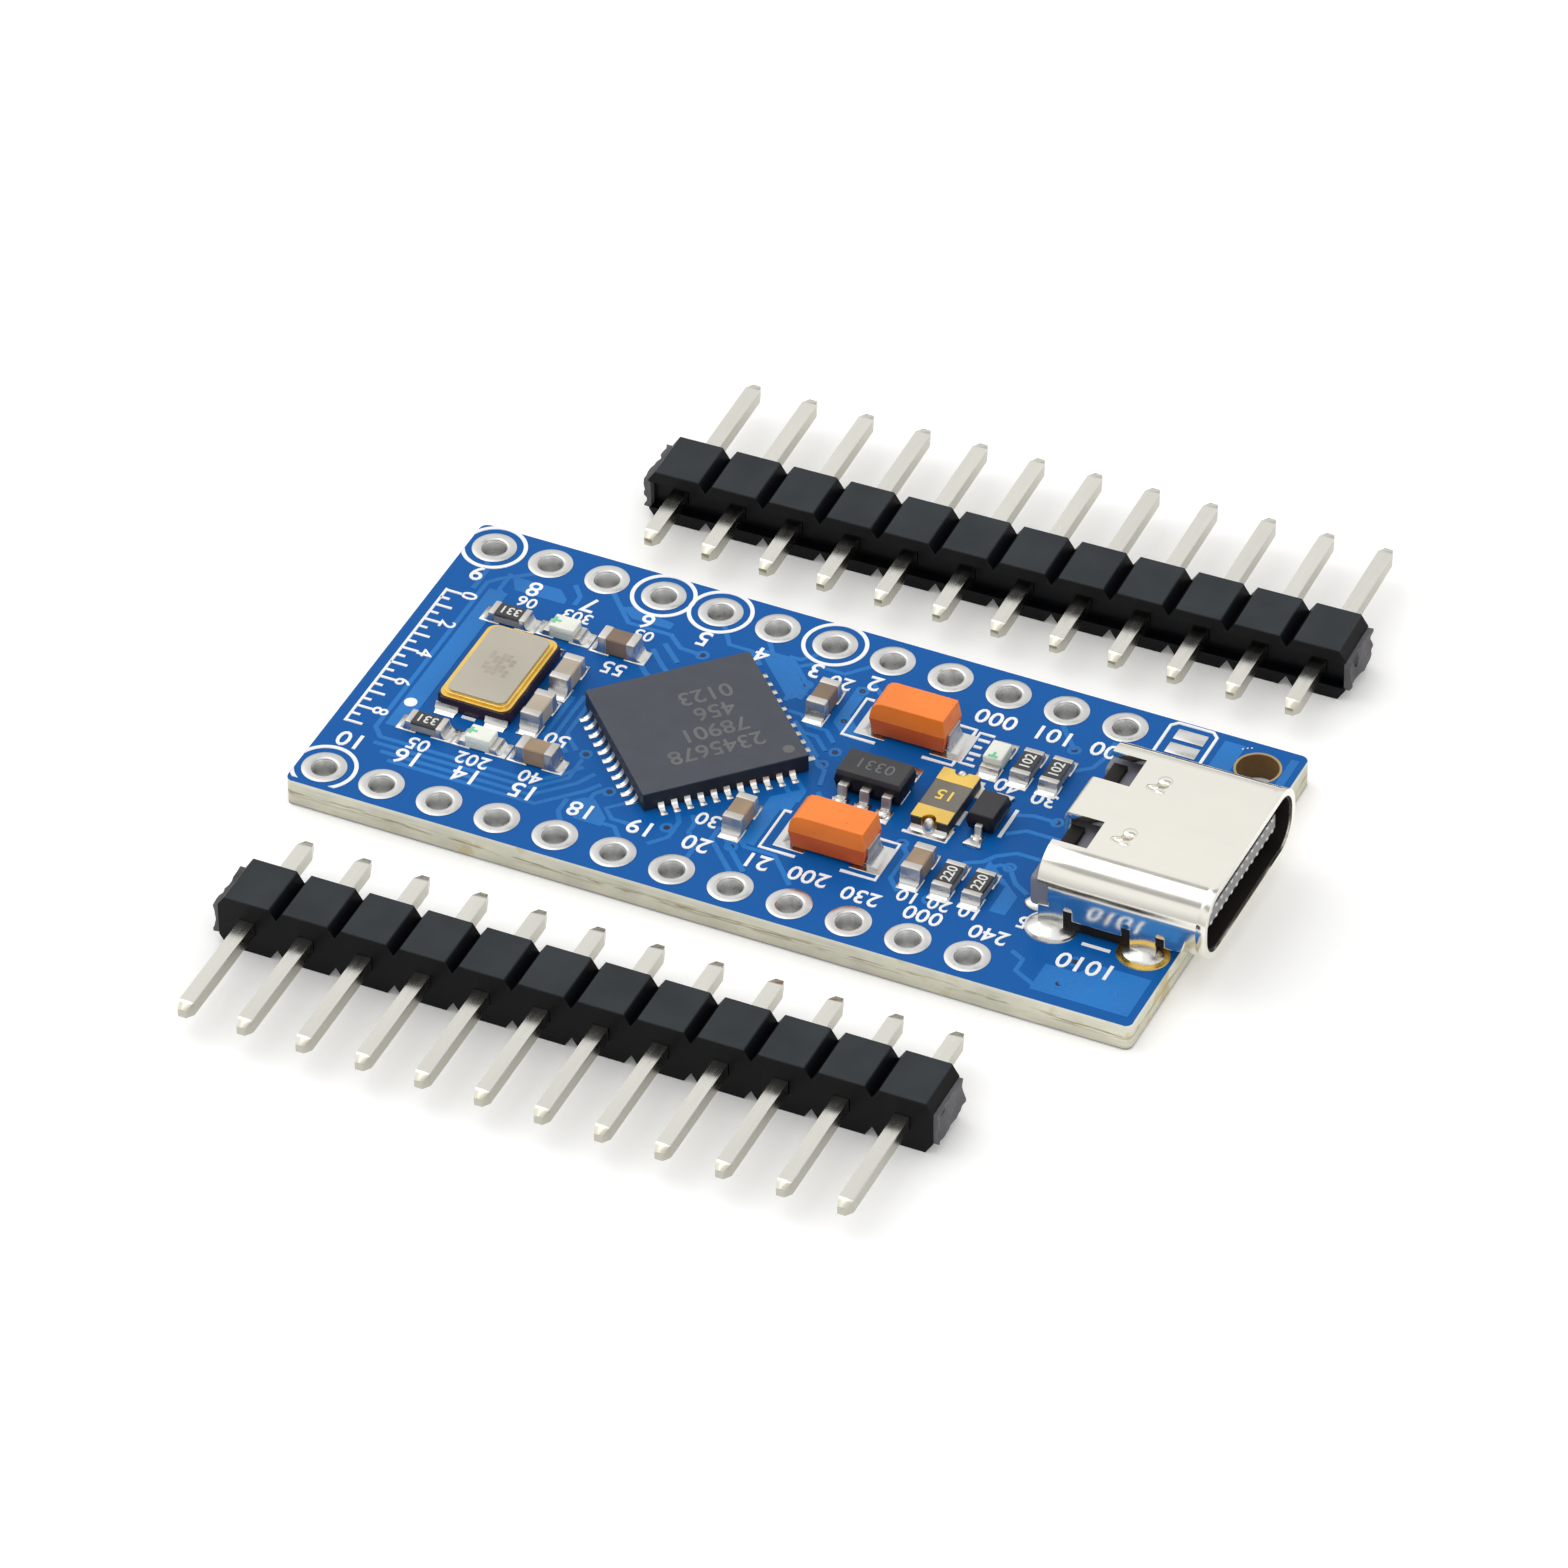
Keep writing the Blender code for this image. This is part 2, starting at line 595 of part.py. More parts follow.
def main():
    """Clear the scene and build every piece."""
    for thing in list(bpy.data.objects):
        bpy.data.objects.remove(thing, do_unlink=True)
    make_board()
    make_usb_shell()
    make_usb_insulator()
    make_microcontroller()
    make_crystal()
    for name, place in TANTALUM_PLACES.items():
        make_tantalum(name, place)
    make_regulator()
    make_diode()
    make_fuse()
    for name, place in RESISTORS.items():
        make_block(name, place, RESISTOR_SIZE, "resistor_black")
    for name, place in CAPACITORS.items():
        make_block(name, place, CAPACITOR_SIZE, "capacitor_ceramic")
    for name, place in LEDS.items():
        make_led(name, place)
    make_strip("near", -1, NEAR_STRIP)
    make_strip("far", 1, FAR_STRIP)


main()
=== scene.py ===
"""Looks of a small microcontroller board with a USB-C socket and two loose pin-header strips.

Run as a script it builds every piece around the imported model, the studio and the camera.
All lengths are in metres. Places on the board are given in millimetres from the middle of its
grid of header holes, with +X towards the USB end and +Y towards the far strip.
"""

import math

import bmesh
import bpy
from bpy.props import FloatProperty, FloatVectorProperty, IntProperty, PointerProperty
from bpy.types import Operator, Panel, PropertyGroup
from mathutils import Matrix, Vector, noise


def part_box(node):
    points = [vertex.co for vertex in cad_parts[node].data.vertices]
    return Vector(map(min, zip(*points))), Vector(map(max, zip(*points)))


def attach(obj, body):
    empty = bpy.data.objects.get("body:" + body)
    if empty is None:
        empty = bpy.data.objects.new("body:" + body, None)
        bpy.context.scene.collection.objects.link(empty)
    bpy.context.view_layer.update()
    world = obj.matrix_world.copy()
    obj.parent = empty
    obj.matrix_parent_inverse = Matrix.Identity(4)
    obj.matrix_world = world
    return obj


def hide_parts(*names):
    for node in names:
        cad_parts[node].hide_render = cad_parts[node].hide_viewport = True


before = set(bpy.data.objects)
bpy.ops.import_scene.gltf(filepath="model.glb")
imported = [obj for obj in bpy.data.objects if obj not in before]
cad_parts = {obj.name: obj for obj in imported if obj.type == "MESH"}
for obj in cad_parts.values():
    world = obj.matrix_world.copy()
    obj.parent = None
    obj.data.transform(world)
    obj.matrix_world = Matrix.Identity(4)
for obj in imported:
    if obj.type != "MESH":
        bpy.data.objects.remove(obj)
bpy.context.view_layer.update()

bl_info = {
    "name": "Microcontroller board",
    "version": (1, 0, 0),
    "blender": (4, 5, 0),
    "location": "View3D > Sidebar > Board",
    "description": "Builds a microcontroller board, its parts, its header strips and a studio",
    "category": "Object",
}

MM = 0.001

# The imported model: board, hole grid and floor of the parts
BOARD_LOW, BOARD_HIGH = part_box("circuit_board")
TOP = BOARD_HIGH.z
PIN_COUNT = 12
PITCH = 2.54 * MM
GRID_LENGTH = (PIN_COUNT - 1) * PITCH
FIRST_HOLE_INSET = 1.13 * MM
ROW_INSET = 1.27 * MM
FIRST_HOLE_X = BOARD_LOW.x + FIRST_HOLE_INSET
GRID_X = FIRST_HOLE_X + GRID_LENGTH / 2
ROW_Y = BOARD_HIGH.y - ROW_INSET
HOLE_DIAMETER = 1.02 * MM
PART_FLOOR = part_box("resistor_1")[0].z

# Small sizes that many pieces share
HAIR = 0.01 * MM
PAD_HEIGHT = 0.06 * MM
DRAFT = 0.2 * MM


# ---------------------------------------------------------------- settings


class BoardSettings(PropertyGroup):
    """Sizes and colours of the bare board."""

    mask_colour: FloatVectorProperty(
        name="Solder mask", description="Colour of the solder mask", subtype="COLOR", size=3,
        min=0, max=1, default=(0.003, 0.1, 0.37),
    )
    copper_tint: FloatVectorProperty(
        name="Mask over copper", description="Colour of the mask where copper lies under it",
        subtype="COLOR", size=3, min=0, max=1, default=(0.006, 0.16, 0.5),
    )
    laminate_colour: FloatVectorProperty(
        name="Laminate", description="Colour of the bare glass-epoxy edge", subtype="COLOR", size=3,
        min=0, max=1, default=(0.68, 0.67, 0.55),
    )
    ink_colour: FloatVectorProperty(
        name="Legend ink", description="Colour of the printed legend", subtype="COLOR", size=3,
        min=0, max=1, default=(0.88, 0.9, 0.92),
    )
    edge_groove: FloatProperty(
        name="Edge groove", description="Width of the scored groove left along the snapped edges",
        unit="LENGTH", default=0.24 * MM, min=0, max=MM,
    )
    trace_width: FloatProperty(
        name="Trace width", description="Width of a copper trace", unit="LENGTH",
        default=0.24 * MM, min=0.05 * MM, max=MM,
    )
    trace_height: FloatProperty(
        name="Trace height", description="How far a trace stands under the mask", unit="LENGTH",
        default=0.02 * MM, min=0, max=0.1 * MM,
    )
    ink_height: FloatProperty(
        name="Ink height", description="How far the legend stands above the board", unit="LENGTH",
        default=0.035 * MM, min=0, max=0.1 * MM,
    )
    pad_diameter: FloatProperty(
        name="Pad diameter", description="Outer diameter of a header pad", unit="LENGTH",
        default=1.84 * MM, min=1.1 * MM, max=2.4 * MM,
    )


class MetalSettings(PropertyGroup):
    """Colours of the metals."""

    nickel: FloatVectorProperty(
        name="Nickel", description="Colour of the socket's shell", subtype="COLOR", size=3,
        min=0, max=1, default=(0.855, 0.835, 0.765),
    )
    solder: FloatVectorProperty(
        name="Solder", description="Colour of solder", subtype="COLOR", size=3,
        min=0, max=1, default=(0.7, 0.7, 0.69),
    )
    gold: FloatVectorProperty(
        name="Gold", description="Colour of gold plating", subtype="COLOR", size=3,
        min=0, max=1, default=(0.9, 0.62, 0.16),
    )
    tin: FloatVectorProperty(
        name="Tin", description="Colour of the header pins", subtype="COLOR", size=3,
        min=0, max=1, default=(0.72, 0.71, 0.655),
    )


class PlasticSettings(PropertyGroup):
    """Colours of the plastics and ceramics."""

    header: FloatVectorProperty(
        name="Header plastic", description="Colour of the header housings", subtype="COLOR", size=3,
        min=0, max=1, default=(0.027, 0.033, 0.038),
    )
    chip: FloatVectorProperty(
        name="Moulding compound", description="Colour of the chips", subtype="COLOR", size=3,
        min=0, max=1, default=(0.043, 0.051, 0.067),
    )
    tantalum: FloatVectorProperty(
        name="Tantalum", description="Colour of the moulded capacitors", subtype="COLOR", size=3,
        min=0, max=1, default=(0.95, 0.225, 0.02),
    )
    insulator: FloatVectorProperty(
        name="Insulator", description="Colour of the socket's insulator", subtype="COLOR", size=3,
        min=0, max=1, default=(0.2, 0.2, 0.24),
    )
    housing_ease: FloatProperty(
        name="Housing edge", description="Rounding of the header housing's edges", unit="LENGTH",
        default=0.08 * MM, min=0, max=0.2 * MM,
    )
    chip_leads: IntProperty(
        name="Leads per side", description="Leads on each side of the square chip",
        default=11, min=1, max=16,
    )


class StudioSettings(PropertyGroup):
    """Camera and light."""

    lens: FloatProperty(
        name="Focal length", description="Camera focal length in millimetres",
        default=248.3, min=20, max=400,
    )
    key_power: FloatProperty(
        name="Key light", description="Power of the key light in watts", default=0.95, min=0, max=100,
    )
    fill_power: FloatProperty(
        name="Fill light", description="Power of the fill light in watts", default=0.25, min=0, max=100,
    )
    sky_strength: FloatProperty(
        name="Surround", description="Strength of the white surround", default=1.0, min=0, max=5,
    )


# ---------------------------------------------------------------- shapes


def at(x, y, z=TOP):
    """A place in millimetres from the middle of the hole grid, as a point in metres."""
    return Vector((GRID_X + x * MM, y * MM, z))


def move(x, y, z=0.0):
    """A shift."""
    return Matrix.Translation((x, y, z))


def spin(angle):
    """A turn about Z."""
    return Matrix.Rotation(angle, 4, "Z")


def shape():
    """An empty mesh to build on."""
    return bmesh.new()


def as_mesh(bm, name="part"):
    """A mesh of a shape, which is used up."""
    mesh = bpy.data.meshes.new(name)
    bm.to_mesh(mesh)
    bm.free()
    return mesh


def merge(bm, part, place=Matrix.Identity(4)):
    """Add a finished shape to a piece's mesh at its place."""
    bmesh.ops.transform(part, matrix=place, verts=part.verts)
    mesh = as_mesh(part)
    bm.from_mesh(mesh)
    bpy.data.meshes.remove(mesh)


def bevel(bm, edges, width, steps, clamp=False):
    """Round some edges of a shape."""
    bmesh.ops.bevel(
        bm, geom=edges, offset=width, offset_type="OFFSET", segments=steps, profile=0.5,
        affect="EDGES", material=-1, clamp_overlap=clamp,
    )


def ease(bm, width, steps=2, angle=30, only=None):
    """Round the edges of a shape that are sharper than an angle."""
    limit = math.radians(angle)
    edges = [
        edge for edge in bm.edges
        if edge.is_manifold and edge.calc_face_angle(0) > limit and (only is None or only(edge))
    ]
    bevel(bm, edges, width, steps, True)


def along(axis):
    """A test for edges that run along X, Y or Z."""
    across = [index for index, name in enumerate("XYZ") if name != axis]

    def runs(edge):
        first, second = (vert.co for vert in edge.verts)
        return all(abs(first[index] - second[index]) < 1e-7 for index in across)

    return runs


def cut(bm, point, normal, clear=False):
    """Cut a mesh along a plane, and clear what lies beyond if asked. Gives the edges of the cut."""
    made = bmesh.ops.bisect_plane(
        bm, geom=bm.verts[:] + bm.edges[:] + bm.faces[:], plane_co=point, plane_no=normal,
        clear_outer=clear,
    )["geom_cut"]
    return [item for item in made if isinstance(item, bmesh.types.BMEdge)]


def block(size, edge=0.0, steps=2):
    """A box about the origin with rounded edges."""
    bm = shape()
    bmesh.ops.create_cube(bm, size=1.0, matrix=Matrix.Diagonal((*size, 1.0)))
    if edge:
        ease(bm, edge, steps)
    return bm


def add_block(bm, size, middle, edge=0.0, steps=2):
    """A box with rounded edges, added to a mesh."""
    merge(bm, block(size, edge, steps), Matrix.Translation(middle))


def moulded(length, width, height):
    """A box split at half its height, with its top and bottom drawn in as a moulding's are."""
    bm = block((length, width, height))
    cut(bm, (0, 0, 0), (0, 0, 1))
    rims = [vert for vert in bm.verts if abs(vert.co.z) > height / 4]
    bmesh.ops.scale(bm, vec=(1 - DRAFT / length, 1 - DRAFT / width, 1), verts=rims)
    return bm


def round_tube(length, width, height, corner, steps):
    """A box along X with its four long edges rounded."""
    bm = block((length, width, height))
    bevel(bm, list(filter(along("X"), bm.edges)), corner, steps)
    return bm


def prism(outline, depth):
    """A flat outline drawn in X and Y, raised along Z by a depth."""
    bm = shape()
    face = bm.faces.new([bm.verts.new((x, y, 0)) for x, y in outline])
    made = bmesh.ops.extrude_face_region(bm, geom=[face], use_keep_orig=True)["geom"]
    raised = [item for item in made if isinstance(item, bmesh.types.BMVert)]
    bmesh.ops.translate(bm, verts=raised, vec=(0, 0, depth))
    bmesh.ops.recalc_face_normals(bm, faces=bm.faces[:])
    return bm


def upright(outline, depth, start):
    """A flat outline drawn in X and Z, raised along Y by a depth from a start."""
    bm = prism(outline, depth)
    stand = Matrix(((1, 0, 0, 0), (0, 0, 1, start), (0, 1, 0, 0), (0, 0, 0, 1)))
    bmesh.ops.transform(bm, matrix=stand, verts=bm.verts)
    bmesh.ops.recalc_face_normals(bm, faces=bm.faces[:])
    return bm


def lathe(profile, steps=40):
    """A closed profile of radius and height, spun round Z."""
    bm = shape()
    verts = [bm.verts.new((radius, 0, height)) for radius, height in profile]
    edges = [bm.edges.new(pair) for pair in zip(verts, verts[1:] + verts[:1])]
    bmesh.ops.spin(
        bm, geom=verts + edges, cent=(0, 0, 0), axis=(0, 0, 1), angle=math.tau, steps=steps,
        use_merge=True,
    )
    bmesh.ops.remove_doubles(bm, verts=bm.verts[:], dist=0.001 * MM)
    bmesh.ops.recalc_face_normals(bm, faces=bm.faces[:])
    return bm


def ring(inner, outer, low, high, steps):
    """A square-edged ring, or a disc where the inner radius is nothing."""
    return lathe([(inner, low), (outer, low), (outer, high), (inner, high)], steps)


def dome(size, detail=3):
    """An ellipsoid about the origin."""
    bm = shape()
    bmesh.ops.create_icosphere(bm, subdivisions=detail, radius=0.5, matrix=Matrix.Diagonal((*size, 1)))
    return bm


def add_rod(bm, middle, radius, length, steps):
    """An upright rod, added to a mesh."""
    bmesh.ops.create_cone(
        bm, cap_ends=True, segments=steps, radius1=radius, radius2=radius, depth=length,
        matrix=Matrix.Translation(middle),
    )


def solder_foot(reach, height, width):
    """Solder that climbs a vertical end: concave towards +X, its back at the origin."""
    share = ((0.0, 1.0), (0.12, 0.66), (0.3, 0.38), (0.55, 0.2), (0.82, 0.12), (1.0, 0.06))
    back = -0.05 * MM
    outline = [(back, 0.0), (back, height), *((reach * x, height * z) for x, z in share), (reach, 0.0)]
    bm = upright(outline, width, -width / 2)
    toes = [vert for vert in bm.verts if vert.co.x > reach * 0.5]
    bmesh.ops.scale(bm, vec=(1, 0.86, 1), verts=toes)
    return bm


def make_piece(name, bm, finish, body="board", sharp=40):
    """A piece from a mesh, with its finish and the body it moves with."""
    mesh = as_mesh(bm, name)
    mesh.materials.append(finish)
    mesh.shade_smooth()
    mesh.set_sharp_from_angle(angle=math.radians(sharp))
    piece = bpy.data.objects.new(name, mesh)
    bpy.context.scene.collection.objects.link(piece)
    flatten = piece.modifiers.new("flat faces", "WEIGHTED_NORMAL")
    flatten.keep_sharp = True
    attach(piece, body)
    return piece


def scratch_object(data):
    """An object that is only there to build a shape."""
    thing = bpy.data.objects.new("scratch", data)
    bpy.context.scene.collection.objects.link(thing)
    return thing


def built(things):
    """The finished shape of the first of some scratch objects, which are then all removed."""
    graph = bpy.context.evaluated_depsgraph_get()
    mesh = bpy.data.meshes.new_from_object(things[0].evaluated_get(graph))
    bm = shape()
    bm.from_mesh(mesh)
    bpy.data.meshes.remove(mesh)
    for thing in things:
        data = thing.data
        bpy.data.objects.remove(thing, do_unlink=True)
        (bpy.data.meshes if isinstance(data, bpy.types.Mesh) else bpy.data.curves).remove(data)
    return bm


def carve(bm, tool, operation="DIFFERENCE"):
    """A mesh with another one cut from it or joined to it."""
    things = [scratch_object(as_mesh(part)) for part in (bm, tool)]
    modifier = things[0].modifiers.new("carve", "BOOLEAN")
    modifier.operation = operation
    modifier.solver = "EXACT"
    modifier.object = things[1]
    return built(things)


def cad_shape(node):
    """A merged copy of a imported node's mesh."""
    bm = shape()
    bm.from_mesh(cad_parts[node].data)
    bmesh.ops.remove_doubles(bm, verts=bm.verts[:], dist=0.002 * MM)
    bmesh.ops.dissolve_limit(bm, angle_limit=math.radians(1), verts=bm.verts[:], edges=bm.edges[:])
    return bm


def lettering(text, size, thickness, bold=0.01):
    """Raised text about the origin, as a mesh."""
    curve = bpy.data.curves.new("text", "FONT")
    curve.body = text
    curve.size = size
    curve.align_x = "CENTER"
    curve.extrude = thickness / 2
    curve.offset = size * bold
    curve.resolution_u = 3
    bm = built([scratch_object(curve)])
    bmesh.ops.remove_doubles(bm, verts=bm.verts[:], dist=0.0005 * MM)
    heights = [vert.co.y for vert in bm.verts]
    middle = (min(heights) + max(heights)) / 2
    bmesh.ops.translate(bm, verts=bm.verts, vec=(0, -middle, thickness / 2))
    return bm


def add_text(bm, text, size, middle, turn, thickness, bold=0.01):
    """Raised text added to a mesh."""
    merge(bm, lettering(text, size, thickness, bold), Matrix.Translation(middle) @ spin(turn))


def ribbon(bm, routes, width, height):
    """Flat strips of one width along routes on the board, with mitred bends."""
    profile = bpy.data.curves.new("profile", "CURVE")
    edge = profile.splines.new("POLY")
    half, crown = width / 2, width * 0.4
    corners = ((-half, 0), (half, 0), (crown, height), (-crown, height))
    edge.points.add(len(corners) - 1)
    for point, (x, y) in zip(edge.points, corners):
        point.co = (x, y, 0, 1)
    edge.use_cyclic_u = True
    curve = bpy.data.curves.new("route", "CURVE")
    curve.dimensions = "3D"
    curve.twist_mode = "Z_UP"
    curve.bevel_mode = "OBJECT"
    curve.bevel_object = scratch_object(profile)
    curve.use_fill_caps = True
    for number, route in enumerate(routes):
        # Slightly different levels keep crossing strips from lying in one plane
        level = TOP - 0.0008 * MM * (number % 9)
        spline = curve.splines.new("POLY")
        spline.points.add(len(route) - 1)
        for point, (x, y) in zip(spline.points, route):
            point.co = (*at(x, y, level), 1)
    part = built([scratch_object(curve), curve.bevel_object])
    bmesh.ops.remove_doubles(part, verts=part.verts[:], dist=0.0005 * MM)
    bmesh.ops.recalc_face_normals(part, faces=part.faces[:])
    merge(bm, part)


def chip_place(node):
    """How a chip part lies: its middle, its length, width and height, and its turn."""
    low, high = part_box(node)
    size = high - low
    if size.y > size.x:
        return (low + high) / 2, (size.y, size.x, size.z), math.pi / 2
    return (low + high) / 2, (size.x, size.y, size.z), 0.0


# ---------------------------------------------------------------- finishes


def feed(tree, node, inputs):
    """Give a shader node's inputs their values, or links from other nodes."""
    for label, value in inputs.items():
        socket = node.inputs[label]
        if isinstance(value, bpy.types.NodeSocket):
            tree.links.new(value, socket)
        else:
            socket.default_value = (*value, 1) if socket.type == "RGBA" else value


def add_node(tree, kind, inputs, **settings):
    """Add a shader node with its settings and inputs. Gives its outputs."""
    node = tree.nodes.new(f"ShaderNode{kind}")
    for name, value in settings.items():
        setattr(node, name, value)
    feed(tree, node, inputs)
    return node.outputs


def coordinates(tree):
    """The place on an object, in its own coordinates."""
    return add_node(tree, "TexCoord", {})["Object"]


def above(tree, height, softness=0.002 * MM):
    """A mask that is 1 above a height."""
    level = add_node(tree, "SeparateXYZ", {0: coordinates(tree)})["Z"]
    return ranged(tree, level, 0, 1, height - softness, height + softness)


def clouds(tree, vector, scale, detail):
    """Soft noise."""
    return add_node(tree, "TexNoise", {"Vector": vector, "Scale": scale, "Detail": detail})["Fac"]


def calculate(tree, operation, first, second):
    """Two values taken together."""
    return add_node(tree, "Math", {0: first, 1: second}, operation=operation)[0]


def ranged(tree, value, low, high, from_low=0.3, from_high=0.7):
    """A value remapped from one range to another."""
    ends = {"From Min": from_low, "From Max": from_high, "To Min": low, "To Max": high}
    return add_node(tree, "MapRange", {"Value": value, **ends})["Result"]


def mixed(tree, factor, first, second):
    """A colour mixed from two colours or sockets by a factor socket."""
    mix = tree.nodes.new("ShaderNodeMix")
    mix.data_type = "RGBA"
    colours = [number for number, socket in enumerate(mix.inputs) if socket.type == "RGBA"]
    feed(tree, mix, dict(zip(("Factor", *colours), (factor, first, second))))
    return next(socket for socket in mix.outputs if socket.type == "RGBA")


def new_group(name, inputs, outputs):
    """An empty shader node group: a vector and numbers go in, numbers come out."""
    group = bpy.data.node_groups.new(name, "ShaderNodeTree")
    group.interface.new_socket("Vector", in_out="INPUT", socket_type="NodeSocketVector")
    for label, value in inputs.items():
        socket = group.interface.new_socket(label, in_out="INPUT", socket_type="NodeSocketFloat")
        socket.default_value = value
    for label in outputs:
        group.interface.new_socket(label, in_out="OUTPUT", socket_type="NodeSocketFloat")
    given, result = (group.nodes.new(f"NodeGroup{end}") for end in ("Input", "Output"))
    return group, given.outputs, result


def grain_group():
    """Fine grain: a height for a bump and a soft variation, both at a given scale."""
    found = bpy.data.node_groups.get("Fine grain")
    if found:
        return found
    group, given, result = new_group(
        "Fine grain", {"Scale": 8000.0, "Detail": 3.0}, ("Height", "Variation"),
    )
    vector, scale = given["Vector"], given["Scale"]
    coarse_scale = calculate(group, "MULTIPLY", scale, 0.06)
    feed(group, result, {
        "Height": clouds(group, vector, scale, given["Detail"]),
        "Variation": clouds(group, vector, coarse_scale, 2.0),
    })
    return group


def fleck_group():
    """Flecks: a mask of small scattered spots."""
    found = bpy.data.node_groups.get("Flecks")
    if found:
        return found
    group, given, result = new_group("Flecks", {"Scale": 3000.0, "Size": 0.12}, ("Mask",))
    cells = add_node(group, "TexVoronoi", {label: given[label] for label in ("Vector", "Scale")})
    feed(group, result, {"Mask": calculate(group, "LESS_THAN", cells["Distance"], given["Size"])})
    return group


def finish(name, colour, roughness, metallic=0.0, grain=8000.0, bump=0.1, vary=0.12, spread=0.06,
           coat=0.0, stretch=(1, 1, 1), depth=0.01, specular=0.5):
    """A surface with fine grain in its height, and soft variation in its colour and roughness."""
    found = bpy.data.materials.get(name)
    if found:
        return found
    made = bpy.data.materials.new(name)
    made.use_nodes = True
    tree = made.node_tree
    mapping = add_node(tree, "Mapping", {"Vector": coordinates(tree), "Scale": stretch})
    fine = add_node(tree, "Group", {"Vector": mapping["Vector"], "Scale": grain},
                    node_tree=grain_group())
    dark = [channel * (1 - vary) for channel in colour]
    light = [min(1.0, channel * (1 + vary)) for channel in colour]
    relief = {"Strength": bump, "Distance": depth * MM, "Height": fine["Height"]}
    feed(tree, tree.nodes["Principled BSDF"], {
        "Base Color": mixed(tree, ranged(tree, fine["Variation"], 0, 1), dark, light),
        "Roughness": ranged(tree, fine["Height"], roughness - spread, roughness + spread),
        "Normal": add_node(tree, "Bump", relief)["Normal"],
        "Metallic": metallic,
        "Coat Weight": coat,
        "Coat Roughness": 0.12,
        "Specular IOR Level": specular,
    })
    return made


def repaint(made, mask, colour):
    """Put a plain colour over a finish where a mask is 1."""
    tree = made.node_tree
    socket = tree.nodes["Principled BSDF"].inputs["Base Color"]
    tree.links.new(mixed(tree, mask, socket.links[0].from_socket, colour), socket)


def repaint_below(made, height, colour, softness=0.002 * MM, strength=1):
    """Put a plain colour over a finish below a height."""
    tree = made.node_tree
    repaint(made, ranged(tree, above(tree, height, softness), strength, 0, 0, 1), colour)


def add_flecks(made, scale, size, colour):
    """Scatter small spots of another colour over a finish."""
    tree = made.node_tree
    spots = {"Vector": coordinates(tree), "Scale": scale, "Size": size}
    repaint(made, add_node(tree, "Group", spots, node_tree=fleck_group())["Mask"], colour)


def solder_finish():
    """Solder, which most parts share."""
    solder = bpy.context.scene.metal_settings.solder
    return finish("solder", solder, 0.3, 1.0, 3000, 0.3, 0.06, 0.08, depth=0.015)


def terminal_finish():
    """Dull tin on the ends and leads of parts."""
    return finish("tinned terminal", (0.62, 0.6, 0.57), 0.44, 1.0, 6000, 0.2, 0.12, 0.08, depth=0.006)


def gold_finish():
    """Gold plating."""
    return finish("gold plating", bpy.context.scene.metal_settings.gold, 0.3, 1.0, 9000, 0.12, 0.08)


def marking_finish():
    """The pale grey that a laser leaves on moulding compound."""
    return finish("laser marking", (0.125, 0.13, 0.13), 0.6, 0.0, 14000, 0.3)


def laminate_finish(board):
    """Bare glass-epoxy edge with its layers, blue mask on the flat top and bottom."""
    made = finish("laminate", board.laminate_colour, 0.62, 0.0, 9000, 0.5, 0.14, 0.08, depth=0.02,
                  specular=0.12)
    tree = made.node_tree
    place = coordinates(tree)
    height = add_node(tree, "SeparateXYZ", {0: place})["Z"]
    along_layers = add_node(tree, "Mapping", {"Vector": place, "Scale": (700, 700, 9000)})["Vector"]
    fibres = clouds(tree, along_layers, 1.0, 4.0)
    middle = calculate(tree, "MULTIPLY", ranged(tree, height, 0, 1, 0.35 * TOP, 0.5 * TOP),
                       ranged(tree, height, 1, 0, 0.55 * TOP, 0.7 * TOP))
    dashes = calculate(tree, "MULTIPLY", middle, ranged(tree, fibres, 0, 1, 0.5, 0.62))
    foot = calculate(tree, "MULTIPLY", ranged(tree, height, 0.55, 0, 0.1 * TOP, 0.62 * TOP),
                     ranged(tree, fibres, 0.6, 1, 0.35, 0.6))
    streaks = ranged(tree, fibres, 0, 0.5, 0.56, 0.7)
    groove = ranged(tree, height, 0, 0.7, TOP - 0.2 * MM, TOP - 0.12 * MM)
    blotches = ranged(tree, clouds(tree, place, 520.0, 4.0), 0, 0.6, 0.56, 0.64)
    hem = ranged(tree, height, 0.8, 0, 0.02 * MM, 0.1 * MM)
    for mask, colour in (
        (dashes, (0.2, 0.13, 0.04)), (streaks, (0.8, 0.78, 0.66)), (foot, (0.4, 0.37, 0.29)),
        (groove, (0.76, 0.75, 0.66)), (blotches, (0.5, 0.4, 0.17)), (hem, (0.16, 0.14, 0.1)),
    ):
        repaint(made, mask, colour)
    skin = 0.004 * MM
    bottom = calculate(tree, "LESS_THAN", height, skin)
    covered = calculate(tree, "MAXIMUM", above(tree, TOP - skin), bottom)
    repaint(made, covered, board.mask_colour)
    shader = tree.nodes["Principled BSDF"]
    rough = shader.inputs["Roughness"].links[0].from_socket
    glossy = add_node(tree, "Mix", {"Factor": covered, "A": rough, "B": 0.3})["Result"]
    tree.links.new(glossy, shader.inputs["Roughness"])
    return made


# ---------------------------------------------------------------- board


